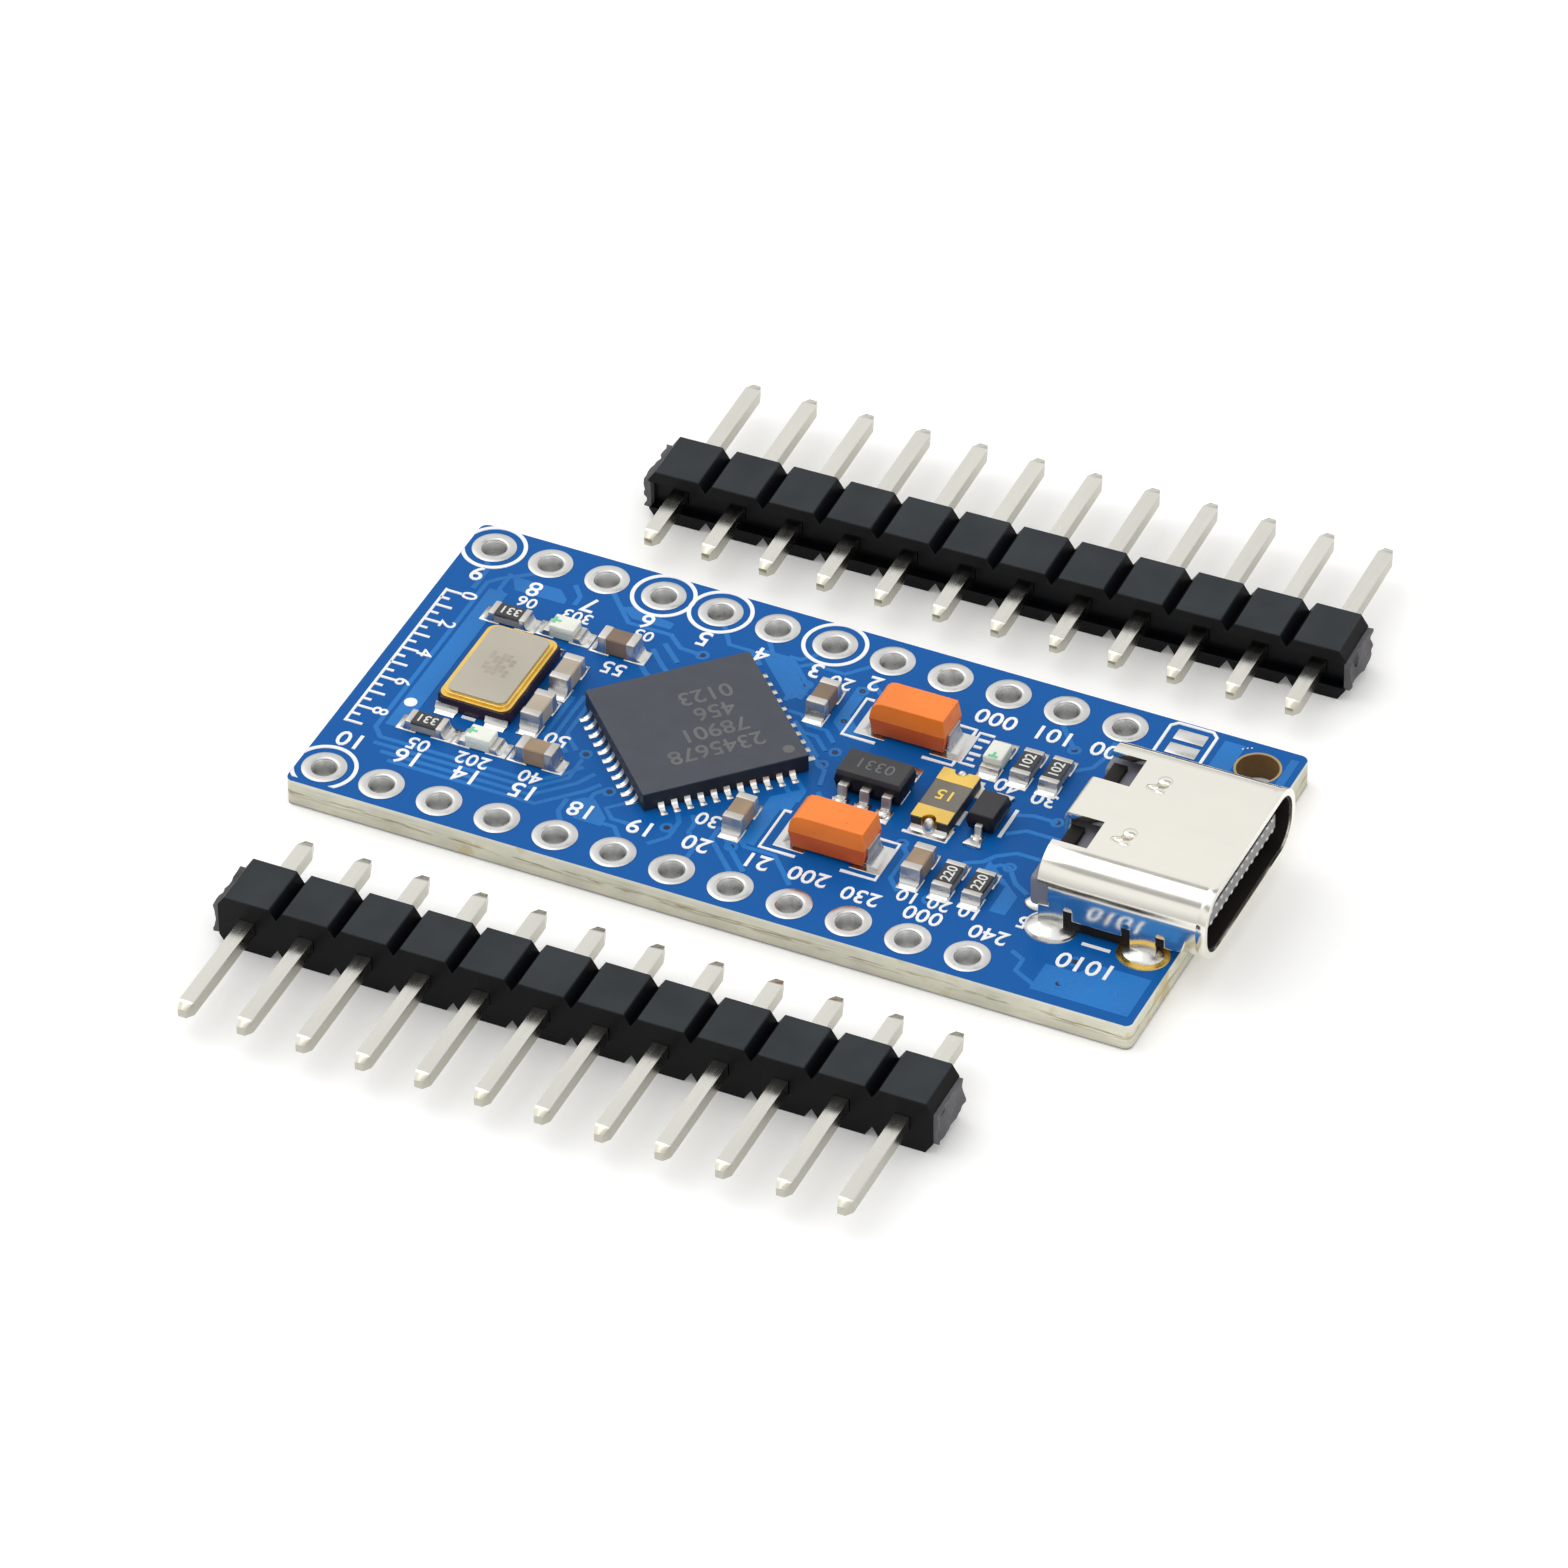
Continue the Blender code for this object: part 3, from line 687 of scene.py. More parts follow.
class BOARD_OT_laminate(Operator):
    """Make the board's laminate, with a scored groove along its two snapped edges"""

    bl_idname = "board.laminate"
    bl_label = "Laminate"

    def execute(self, context):
        board = context.scene.board_settings
        bm = cad_shape("circuit_board")

        def snapped(edge):
            first, second = (vert.co for vert in edge.verts)
            near = max(first.y, second.y) < BOARD_LOW.y + HAIR
            right = min(first.x, second.x) > BOARD_HIGH.x - HAIR
            return abs(first.z - second.z) < HAIR and (near or right)

        ease(bm, board.edge_groove, 1, 60, snapped)
        piece = make_piece("laminate", bm, laminate_finish(board), sharp=20)
        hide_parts("circuit_board")
        return {"FINISHED"}


class BOARD_OT_header_pads(Operator):
    """Make the plated header holes: a domed pad on each side and the barrel between them"""

    bl_idname = "board.header_pads"
    bl_label = "Header pads"

    def execute(self, context):
        outer = context.scene.board_settings.pad_diameter / 2
        wall = HOLE_DIAMETER / 2
        inner = wall - 0.035 * MM
        lip, rise = 0.07 * MM, 0.045 * MM
        top = TOP + rise
        profile = [
            (inner, -HAIR), (inner + lip, -0.02 * MM), (outer, -0.015 * MM), (outer, 0.0),
            (wall, 0.0), (wall, TOP), (outer, TOP), (outer, TOP + rise * 0.5),
            (outer - lip * 0.6, top), (inner + lip * 2.2, top), (inner + lip, top - rise * 0.3),
            (inner, TOP - lip),
        ]
        bm = shape()
        for side in (-1, 1):
            for index in range(PIN_COUNT):
                merge(bm, lathe(profile, 48), move(FIRST_HOLE_X + index * PITCH, side * ROW_Y))
        solder = context.scene.metal_settings.solder
        pads = finish("hot-air solder", solder, 0.34, 1.0, 2600, 0.3, 0.05, 0.1, depth=0.03)
        make_piece("header_pads", bm, pads, sharp=50)
        return {"FINISHED"}


# Copper routes under the mask, in millimetres on the hole grid
ROUTES = (
    ((-11.43, 7.0), (-12.9, 5.9), (-13.25, 5.5), (-13.25, -4.5), (-12.8, -5.0), (-6.1, -5.0),
     (-5.2, -4.2), (-4.6, -3.4)),
    ((-13.97, 6.9), (-13.6, 6.3), (-13.6, 4.9)),
    ((-8.4, 7.1), (-6.9, 5.5), (-5.0, 5.5), (-4.3, 4.9), (-3.4, 4.85)),
    ((-12.9, -5.4), (-6.0, -5.4), (-4.85, -4.25), (-4.85, -3.0)),
    ((-12.4, -5.8), (-5.8, -5.8), (-4.4, -4.4), (-4.0, -3.6)),
    ((-11.9, -6.2), (-5.4, -6.2), (-3.9, -4.7), (-3.5, -4.1)),
    ((-6.9, 0.4), (-6.9, -2.2), (-6.4, -2.7)),
    ((-6.5, 0.6), (-6.5, -2.0), (-5.6, -2.9)),
    ((-6.1, 0.2), (-6.1, -1.8), (-5.3, -2.6)),
    ((-5.6, 3.6), (-4.9, 2.9), (-4.4, 2.6)),
    ((-5.3, 4.4), (-4.5, 3.6), (-3.9, 3.1)),
    ((-5.0, 4.9), (-4.0, 4.0)),
    ((-3.3, 6.9), (-2.6, 5.9), (-1.6, 5.9), (-0.9, 5.2)),
    ((-1.27, 6.8), (-0.7, 6.0), (0.2, 6.0), (1.4, 4.8), (1.4, 3.9)),
    ((0.2, 5.3), (0.9, 4.6), (0.9, 3.6)),
    ((1.0, 6.9), (0.4, 6.2), (-0.1, 6.2)),
    ((3.2, 7.0), (2.4, 6.1), (0.9, 6.1), (0.3, 5.6)),
    ((1.3, 3.1), (1.9, 3.1), (2.4, 2.6), (3.2, 2.6), (3.8, 2.0)),
    ((1.8, 2.6), (2.4, 2.1), (3.0, 2.1), (3.7, 1.4)),
    ((2.3, 2.1), (2.9, 1.6), (3.6, 0.9)),
    ((2.8, 1.6), (3.4, 0.9), (4.2, 0.3), (4.4, -0.6)),
    ((3.2, -0.4), (4.0, -1.2), (4.0, -1.9)),
    ((2.9, -0.9), (3.5, -1.5), (3.5, -2.4), (3.0, -2.9)),
    ((-4.35, -5.4), (-4.35, -6.2), (-3.9, -6.9)),
    ((-3.2, -4.3), (-3.5, -4.7), (-3.5, -5.6), (-2.9, -6.2), (-1.9, -6.2), (-1.4, -6.8)),
    ((-2.1, -4.7), (-2.7, -5.3), (-2.2, -5.8), (-1.2, -5.8)),
    ((0.0, -4.4), (0.3, -4.9), (0.3, -5.9), (-0.3, -6.6)),
    ((0.6, -4.3), (0.9, -4.7), (0.9, -5.3), (1.5, -5.9), (1.5, -6.9)),
    ((1.9, -4.5), (1.9, -5.3), (3.4, -6.8)),
    ((2.3, -4.8), (2.6, -5.3), (3.9, -6.6)),
    ((3.0, -4.9), (3.3, -5.2), (4.6, -5.2), (5.9, -6.6)),
    ((12.2, 0.9), (12.9, 1.15), (13.9, 1.15)),
    ((12.3, -0.3), (13.0, 0.2), (14.6, 0.2)),
    ((11.5, -2.6), (12.2, -2.2), (12.5, -1.7), (13.2, -1.2), (14.7, -1.2)),
    ((12.6, -2.4), (12.9, -2.1), (13.3, -2.1), (13.9, -2.9), (14.6, -3.3)),
    ((13.2, 4.3), (13.8, 4.8), (14.0, 5.6), (14.0, 6.6)),
    ((12.7, 5.5), (12.1, 6.2), (11.6, 6.8)),
    ((8.85, -2.5), (9.3, -3.0), (9.3, -4.6), (9.9, -5.2)),
    ((15.4, -6.6), (16.0, -6.9), (16.0, -7.6), (17.0, -8.1), (20.6, -8.1)),
    ((17.85, -7.65), (18.3, -7.2), (20.9, -7.2), (20.9, -8.2)),
    ((5.1, 5.4), (4.4, 5.4), (3.6, 6.1)),
    ((4.5, -1.0), (4.9, -1.4)),
    ((-12.6, 6.4), (-12.6, 5.3), (-12.2, 4.9)),
    ((-9.9, 6.8), (-9.4, 6.2), (-9.4, 5.6)),
)

# Copper areas under the mask: corners in millimetres on the hole grid
AREAS = (
    ((-13.0, 5.2), (-13.0, -4.2), (-12.15, -4.2), (-12.15, 5.2)),
    ((-12.5, 6.3), (-10.3, 6.3), (-9.8, 5.8), (-9.8, 5.5), (-12.0, 5.5)),
    ((-4.1, -5.4), (-3.75, -5.05), (-3.3, -5.0), (-2.4, -5.9), (-2.4, -6.4), (-3.6, -6.4),
     (-4.1, -5.9)),
    ((2.9, -2.0), (4.0, -1.0), (4.0, -2.6), (3.6, -2.6), (3.6, -5.0), (2.9, -5.0)),
    ((-1.5, 6.2), (-0.2, 4.9), (1.0, 3.7), (1.6, 4.3), (0.0, 6.2)),
    ((3.2, 3.2), (4.0, 2.5), (4.6, 2.9), (3.7, 3.8), (3.7, 5.6), (3.2, 5.6)),
    ((16.9, -6.75), (16.9, -8.35), (21.05, -8.35), (21.05, -6.0), (19.0, -6.0), (18.2, -6.75)),
    ((17.9, 8.5), (18.8, 8.5), (18.8, 6.7), (17.9, 6.7)),
    ((20.75, 8.5), (21.1, 8.5), (21.1, 6.3), (20.75, 6.3)),
    ((12.4, -2.0), (13.1, -2.6), (14.3, -3.6), (14.3, -4.8), (13.6, -4.8), (13.6, -3.2),
     (12.4, -2.9)),
    ((-7.6, 6.3), (-6.9, 5.8), (-5.2, 5.8), (-5.2, 6.2), (-7.2, 6.5)),
)

VIAS = (
    (3.5, 5.4), (3.6, 3.4), (4.1, 1.5), (3.95, 0.6), (12.7, 5.5), (13.9, 1.15), (13.3, -2.1),
    (8.85, -2.5), (17.85, -7.65), (-3.3, 4.85), (1.3, 4.85), (-4.85, -2.65), (-3.0, -4.35),
    (0.0, -5.4), (2.8, -5.4), (17.9, -6.2), (11.2, -5.15), (-9.3, -2.1),
)


class BOARD_OT_copper(Operator):
    """Make the traces, areas and vias that show as relief under the mask"""

    bl_idname = "board.copper"
    bl_label = "Copper under the mask"

    def execute(self, context):
        board = context.scene.board_settings
        rise = board.trace_height
        covered = finish("mask over copper", board.copper_tint, 0.3, 0.0, 2600, 0.06, 0.14, 0.05,
                         specular=0.3)
        add_flecks(covered, 1500.0, 0.035, (0.1, 0.32, 0.62))
        bm = shape()
        for number, corners in enumerate(AREAS):
            part = prism([(x * MM, y * MM) for x, y in corners], rise * 0.6)
            ease(part, rise * 0.5, 1)
            merge(bm, part, move(GRID_X, 0, TOP - 0.0005 * MM * number))
        make_piece("copper_areas", bm, covered, sharp=20)
        bm = shape()
        ribbon(bm, ROUTES, board.trace_width, rise)
        make_piece("copper_traces", bm, covered, sharp=20)
        rings, shade_discs = shape(), shape()
        collar = [(0.12 * MM, 0), (0.3 * MM, 0), (0.27 * MM, rise * 1.2), (0.16 * MM, rise * 1.2)]
        shade_disc = [(0.0, 0), (0.13 * MM, 0), (0.13 * MM, rise * 0.7), (0.0, rise * 0.4)]
        for place in VIAS:
            merge(rings, lathe(collar, 24), Matrix.Translation(at(*place)))
            merge(shade_discs, lathe(shade_disc, 16), Matrix.Translation(at(*place)))
        make_piece("via_rings", rings, covered, sharp=30)
        # Painted shade: no hole is cut for a via; a near-black disc on each one stands in for the shade
        # of its hole.
        via_shade_finish = finish("painted via shade", (0.004, 0.012, 0.05), 0.35, 0.0, 6000, 0.1)
        make_piece("via_painted_shade", shade_discs, via_shade_finish, sharp=30)
        return {"FINISHED"}


# Printed numbers: text, x, y, height of the type
LABELS = (
    ("9", -13.85, 5.85, 1.25), ("8", -11.3, 5.85, 1.25), ("7", -8.8, 5.85, 1.25),
    ("6", -6.25, 5.85, 1.25), ("5", -3.7, 5.8, 1.25), ("4", -1.15, 5.8, 1.25),
    ("3", 1.25, 5.8, 1.25), ("2", 3.75, 6.0, 1.25), ("00", 6.5, 6.0, 1.2), ("000", 9.1, 5.95, 1.2),
    ("101", 11.6, 5.95, 1.2), ("100", 14.1, 5.95, 1.2),
    ("10", -13.75, -5.7, 1.25), ("16", -11.2, -5.75, 1.25), ("14", -8.6, -5.8, 1.25),
    ("15", -6.1, -5.75, 1.25), ("18", -3.5, -5.85, 1.2), ("19", -0.9, -5.85, 1.2),
    ("20", 1.5, -5.85, 1.2), ("21", 4.1, -5.85, 1.2), ("200", 6.35, -5.85, 1.15),
    ("230", 8.7, -6.1, 1.1), ("000", 11.4, -6.15, 1.1), ("240", 14.2, -6.15, 1.1),
    ("06", -11.2, 4.98, 0.88), ("303", -8.95, 4.98, 0.88), ("05", -6.0, 5.0, 0.88),
    ("55", -6.2, 2.6, 1.05), ("50", -6.3, -2.35, 1.05), ("05", -11.2, -4.85, 1.0),
    ("202", -8.8, -4.85, 1.0), ("40", -6.25, -4.85, 1.0), ("20", 2.5, 5.5, 1.05),
    ("30", 1.3, -4.35, 1.05), ("30", 12.85, 2.2, 1.1), ("40", 11.2, 2.35, 1.1),
    ("10", 10.4, -5.35, 0.95), ("20", 11.7, -5.3, 0.95), ("10", 13.0, -5.25, 0.95),
    ("1010", 18.4, -6.3, 1.25), ("5", 15.1, -4.9, 1.0),
)

# Printed lines: routes in millimetres on the hole grid
LINES = (
    ((-8.55, 1.0), (-8.55, 2.8)), ((-10.4, -2.55), (-9.8, -2.55)),
    ((5.3, 2.65), (3.85, 2.65), (3.85, 5.05), (4.2, 5.05)),
    ((7.35, 2.65), (8.65, 2.65), (8.65, 3.0)), ((7.8, 5.05), (8.65, 5.05), (8.65, 4.6)),
    ((5.35, -4.95), (3.8, -4.95), (3.8, -2.55), (4.1, -2.55)),
    ((7.3, -4.95), (8.8, -4.95), (8.8, -2.6), (7.8, -2.6)),
    ((7.75, -0.35), (7.75, 0.55)),
    ((8.5, -1.75), (10.35, -1.75), (10.35, -1.0)), ((10.35, 1.2), (10.35, 1.9)),
    ((10.35, -0.6), (10.35, 0.3)), ((12.15, -0.6), (12.15, 1.2)),
    ((17.7, -5.1), (18.9, -5.1)),
    ((8.95, 4.55), (9.45, 4.55)), ((8.95, 4.1), (9.3, 4.1)), ((8.95, 3.65), (9.45, 3.65)),
    ((9.0, 3.3), (9.3, 3.3)),
)

# Printed frames round the solder jumpers and beside the light-emitting diodes
JUMPER_FRAME = ((15.55, 6.75), (15.55, 8.5), (15.8, 8.75), (17.3, 8.75), (17.55, 8.5), (17.55, 6.75))
LED_FRAME = ((9.5, 4.95), (8.85, 4.95), (8.85, 2.95), (9.5, 2.95))

RINGED_HOLES = (0, 3, 4, 6)
SCALE_X, SCALE_TOP, SCALE_STEPS, SCALE_STEP = -14.55, 4.4, 19, 0.5


class BOARD_OT_legend(Operator):
    """Print the legend: plain numbers, rings, brackets and a small scale"""

    bl_idname = "board.legend"
    bl_label = "Legend"

    def execute(self, context):
        board = context.scene.board_settings
        height = board.ink_height
        bm = shape()
        for text, x, y, size in LABELS:
            add_text(bm, text, size * MM, at(x, y), math.pi, height)
        ribbon(bm, LINES, 0.17 * MM, height)
        for place in ((18.75, 8.3), (18.9, 8.42), (19.05, 8.5)):
            merge(bm, dome((0.09 * MM, 0.09 * MM, 2 * height), 1), Matrix.Translation(at(*place)))
        merge(bm, ring(0, 0.27 * MM, 0, height, 28), Matrix.Translation(at(-12.65, -2.6)))
        for outline in (JUMPER_FRAME, LED_FRAME):
            ribbon(bm, [outline], 0.15 * MM, height)
        scale = []
        for step in range(SCALE_STEPS):
            y = SCALE_TOP - step * SCALE_STEP
            scale.append(((SCALE_X, y), (SCALE_X + (0.4 if step % 2 else 0.75), y)))
            if step % 4 == 0:
                add_text(bm, str(step // 2), 0.95 * MM, at(SCALE_X + 1.05, y), -math.pi / 2, height)
        scale.append(((SCALE_X, 4.48), (SCALE_X, -4.68)))
        ribbon(bm, scale, 0.13 * MM, height)
        spots = [(FIRST_HOLE_X + index * PITCH, ROW_Y, TOP - 0.0015 * MM * index)
                 for index in RINGED_HOLES]
        rings = shape()
        for spot in (*spots, (FIRST_HOLE_X, -ROW_Y, TOP)):
            merge(rings, ring(1.2 * MM, 1.37 * MM, 0, height, 56), Matrix.Translation(spot))
        inset = 0.03 * MM
        for point, normal in (
            ((BOARD_LOW.x + inset, 0, 0), (-1, 0, 0)),
            ((0, BOARD_HIGH.y - inset, 0), (0, 1, 0)),
            ((0, BOARD_LOW.y + board.edge_groove + inset, 0), (0, -1, 0)),
        ):
            bmesh.ops.holes_fill(rings, edges=cut(rings, point, normal, True))
        merge(bm, rings)
        ink = finish("legend ink", board.ink_colour, 0.5, 0.0, 9000, 0.3, 0.04, 0.08, depth=0.01)
        make_piece("legend", bm, ink, sharp=30)
        return {"FINISHED"}


class BOARD_OT_bare_pads(Operator):
    """Make the bare solder-jumper pads and the rim of the screw hole"""

    bl_idname = "board.bare_pads"
    bl_label = "Bare pads"

    def execute(self, context):
        bm = shape()
        for y in (8.08, 7.2):
            add_block(bm, (1.3 * MM, 0.66 * MM, PAD_HEIGHT), at(16.6, y, TOP + HAIR), 0.02 * MM)
        make_piece("jumper_pads", bm, solder_finish(), sharp=50)
        x, y = BOARD_HIGH.x - 1.65 * MM, BOARD_HIGH.y - 1.44 * MM
        radius = 0.875 * MM
        rim = radius + 0.09 * MM
        profile = [(radius, -0.02 * MM), (rim, 0), (rim, 0.008 * MM), (radius, 0.002 * MM)]
        bm = shape()
        merge(bm, lathe(profile, 48), move(x, y, TOP))
        bare = finish("bare laminate", (0.42, 0.3, 0.1), 0.5, 0.0, 9000, 0.3)
        make_piece("screw_hole_rim", bm, bare, sharp=50)
        bm = shape()
        wall = ring(radius - 0.015 * MM, radius + 0.02 * MM, 0.02 * MM, TOP - HAIR, 48)
        merge(bm, wall, move(x, y))
        drilled = finish("drilled laminate", (0.16, 0.085, 0.02), 0.6, 0.0, 6000, 0.6, 0.3, depth=0.03)
        make_piece("screw_hole_wall", bm, drilled, sharp=50)
        return {"FINISHED"}


# ---------------------------------------------------------------- chips

CORNERS = ((-1, -1), (-1, 1), (1, -1), (1, 1))
MARK_HEIGHT = 0.006 * MM
LEAD_PITCH = 0.55 * MM


class BOARD_OT_microcontroller(Operator):
    """Finish the square chip and solder its leads"""

    bl_idname = "board.microcontroller"
    bl_label = "Microcontroller"

    def execute(self, context):
        plastics = context.scene.plastic_settings
        low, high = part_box("microcontroller")
        middle = (low + high) / 2
        eighth = math.radians(45)
        side = (high.x - low.x) / math.sqrt(2)
        half = side / 2
        bm = block((side, side, high.z - low.z), 0.045 * MM, 2)
        bmesh.ops.transform(bm, matrix=Matrix.Translation(middle) @ spin(eighth), verts=bm.verts)
        compound = finish("chip compound", plastics.chip, 0.46, 0.0, 16000, 0.35, 0.08, 0.07)
        # Painted shade: below its top the chip is painted near black, so its sides look shaded.
        repaint_below(compound, high.z - 0.05 * MM, (0.012, 0.013, 0.016))
        piece = make_piece("microcontroller_body", bm, compound)
        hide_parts("microcontroller")
        marks = shape()
        top = move(middle.x, middle.y, high.z - 0.002 * MM) @ spin(eighth)
        inset = half - 0.62 * MM
        merge(marks, ring(0, 0.24 * MM, 0, MARK_HEIGHT, 32), top @ move(inset, -inset))
        for text, x, y in (("0123", 0.9, 1.5), ("456", 0.9, 0.4), ("78901", 0.5, -0.7),
                           ("2345678", 0.2, -1.8)):
            spot = top @ move(x * MM, y * MM) @ spin(math.pi)
            merge(marks, lettering(text, 1.15 * MM, MARK_HEIGHT, 0.012), spot)
        make_piece("microcontroller_marks", marks, marking_finish())
        solder, pads = shape(), shape()
        for quarter in range(4):
            face = move(middle.x, middle.y) @ spin(math.radians(45 + 90 * quarter))
            for index in range(plastics.chip_leads):
                y = (index - (plastics.chip_leads - 1) / 2) * LEAD_PITCH
                spot = face @ move(half + HAIR, y, TOP)
                merge(solder, solder_foot(0.36 * MM, 0.3 * MM, 0.25 * MM), spot)
                pad = block((0.62 * MM, 0.27 * MM, 0.05 * MM), 0.015 * MM, 1)
                merge(pads, pad, spot @ move(0.18 * MM, 0, 0.012 * MM))
        merge(solder, pads)
        make_piece("microcontroller_solder", solder, solder_finish(), sharp=50)
        return {"FINISHED"}


class BOARD_OT_crystal(Operator):
    """Make the crystal: ceramic base, gold rim in two steps, plated lid and its solder"""

    bl_idname = "board.crystal"
    bl_label = "Crystal"

    def execute(self, context):
        low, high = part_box("crystal_base")
        lid_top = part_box("crystal_lid")[1].z
        middle, size = (low + high) / 2, high - low
        notches = shape()
        for side, end in CORNERS:
            add_rod(notches, (side * size.x / 2, end * size.y / 2, 0), 0.22 * MM, 2 * size.z, 20)
        bm = carve(block(size, 0.06 * MM, 2), notches)
        bmesh.ops.translate(bm, verts=bm.verts, vec=middle)
        ceramic = finish("fired ceramic", (0.03, 0.012, 0.02), 0.32, 0.0, 7000, 0.2, 0.2)
        piece = make_piece("crystal_body", bm, ceramic)
        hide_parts("crystal_base")

        def plate(shrink, bottom, top, radius, edge):
            part = block((size.x - shrink, size.y - shrink, top - bottom))
            ease(part, radius, 6, 60, along("Z"))
            ease(part, edge, 2, 60)
            bmesh.ops.translate(part, verts=part.verts, vec=(middle.x, middle.y, (bottom + top) / 2))
            return part

        rim = shape()
        merge(rim, plate(0.1 * MM, high.z - HAIR, high.z + 0.07 * MM, 0.42 * MM, 0.02 * MM))
        merge(rim, plate(0.36 * MM, high.z + 0.05 * MM, high.z + 0.17 * MM, 0.38 * MM, 0.035 * MM))
        make_piece("crystal_rim", rim, gold_finish())
        lid = plate(0.62 * MM, high.z + 0.12 * MM, lid_top - 0.02 * MM, 0.3 * MM, 0.03 * MM)
        lid_metal = finish("plated lid", (0.52, 0.485, 0.41), 0.42, 0.85, 6000, 0.3, 0.05, 0.06)
        piece = make_piece("crystal_cap", lid, lid_metal)
        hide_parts("crystal_lid")
        marks = shape()
        for column in range(5):
            for row in range(6):
                if (column * 5 + row * 7 + column * row) % 3:
                    x, y = (column - 2) * 0.24 * MM, (row - 2.5) * 0.24 * MM
                    add_block(marks, (0.2 * MM, 0.2 * MM, 0.004 * MM),
                              (middle.x + x, middle.y + y, lid_top - 0.019 * MM))
        etched = finish("etched lid", (0.4, 0.37, 0.31), 0.55, 0.7, 9000, 0.3)
        make_piece("crystal_marks", marks, etched)
        solder = shape()
        for side, end in CORNERS:
            spot = move(middle.x + side * 1.1 * MM, middle.y + end * size.y / 2, TOP)
            merge(solder, solder_foot(0.35 * MM, 0.32 * MM, 1.0 * MM), spot @ spin(end * math.pi / 2))
        make_piece("crystal_solder", solder, solder_finish(), sharp=50)
        return {"FINISHED"}


def end_caps(bm, node, length, proud):
    """Metal caps wrapped round both ends of a chip part."""
    middle, (reach, width, height), turn = chip_place(node)
    for side in (-1, 1):
        cap = block((length + proud, width + 2 * proud, height + 2 * proud), 0.05 * MM, 3)
        shift = move(side * (reach - length + proud) / 2, 0)
        merge(bm, cap, Matrix.Translation(middle) @ spin(turn) @ shift)


def end_solder(bm, node, height, reach):
    """Solder feet and pads at both ends of a chip part."""
    middle, (length, width, _), turn = chip_place(node)
    for way in (math.pi, 0):
        place = move(middle.x, middle.y, TOP) @ spin(turn + way)
        merge(bm, solder_foot(reach, height, width * 1.04), place @ move(length / 2, 0))
        pad = block((0.9 * MM, width * 1.14, PAD_HEIGHT), 0.025 * MM, 1)
        merge(bm, pad, place @ move(length / 2 - 0.02 * MM, 0, HAIR))


RESISTOR_VALUES = ("220", "220", "102", "102", "331", "331")
CAPACITOR_KINDS = ("tan", "brown", "tan", "tan", "brown", "pale", "pale")


class BOARD_OT_chip_parts(Operator):
    """Finish the chip resistors and capacitors with end caps, value marks and solder"""

    bl_idname = "board.chip_parts"
    bl_label = "Chip resistors and capacitors"

    def execute(self, context):
        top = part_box("resistor_1")[1].z
        glaze = finish("resistor glaze", (0.014, 0.014, 0.017), 0.3, 0.0, 9000, 0.2, 0.1, coat=0.3)
        repaint_below(glaze, top - 0.1 * MM, (0.3, 0.29, 0.27))
        caps, solder, marks = shape(), shape(), shape()
        for number, value in enumerate(RESISTOR_VALUES, 1):
            node = f"resistor_{number}"
            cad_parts[node].material_slots[0].material = glaze
            end_caps(caps, node, 0.26 * MM, 0.015 * MM)
            end_solder(solder, node, 0.34 * MM, 0.32 * MM)
            middle, _, turn = chip_place(node)
            spot = (middle.x, middle.y, top - 0.002 * MM)
            add_text(marks, value, 0.62 * MM, spot, turn or math.pi, 0.012 * MM, 0.015)
        make_piece("resistor_caps", caps, terminal_finish())
        make_piece("resistor_solder", solder, solder_finish(), sharp=50)
        white = finish("value marks", (0.72, 0.72, 0.7), 0.5, 0.0, 9000, 0.2)
        make_piece("resistor_marks", marks, white)
        ceramics = {
            kind: finish(name, colour, 0.42, 0.0, 9000, 0.25, vary, coat=0.1)
            for kind, name, colour, vary in (
                ("tan", "capacitor ceramic", (0.33, 0.23, 0.14), 0.16),
                ("pale", "pale capacitor ceramic", (0.45, 0.38, 0.3), 0.14),
                ("brown", "brown capacitor ceramic", (0.2, 0.135, 0.09), 0.16),
            )
        }
        caps, solder = shape(), shape()
        for number, kind in enumerate(CAPACITOR_KINDS, 1):
            node = f"capacitor_{number}"
            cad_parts[node].material_slots[0].material = ceramics[kind]
            end_caps(caps, node, 0.36 * MM, 0.018 * MM)
            end_solder(solder, node, 0.5 * MM, 0.34 * MM)
        make_piece("capacitor_caps", caps, terminal_finish())
        make_piece("capacitor_solder", solder, solder_finish(), sharp=50)
        return {"FINISHED"}


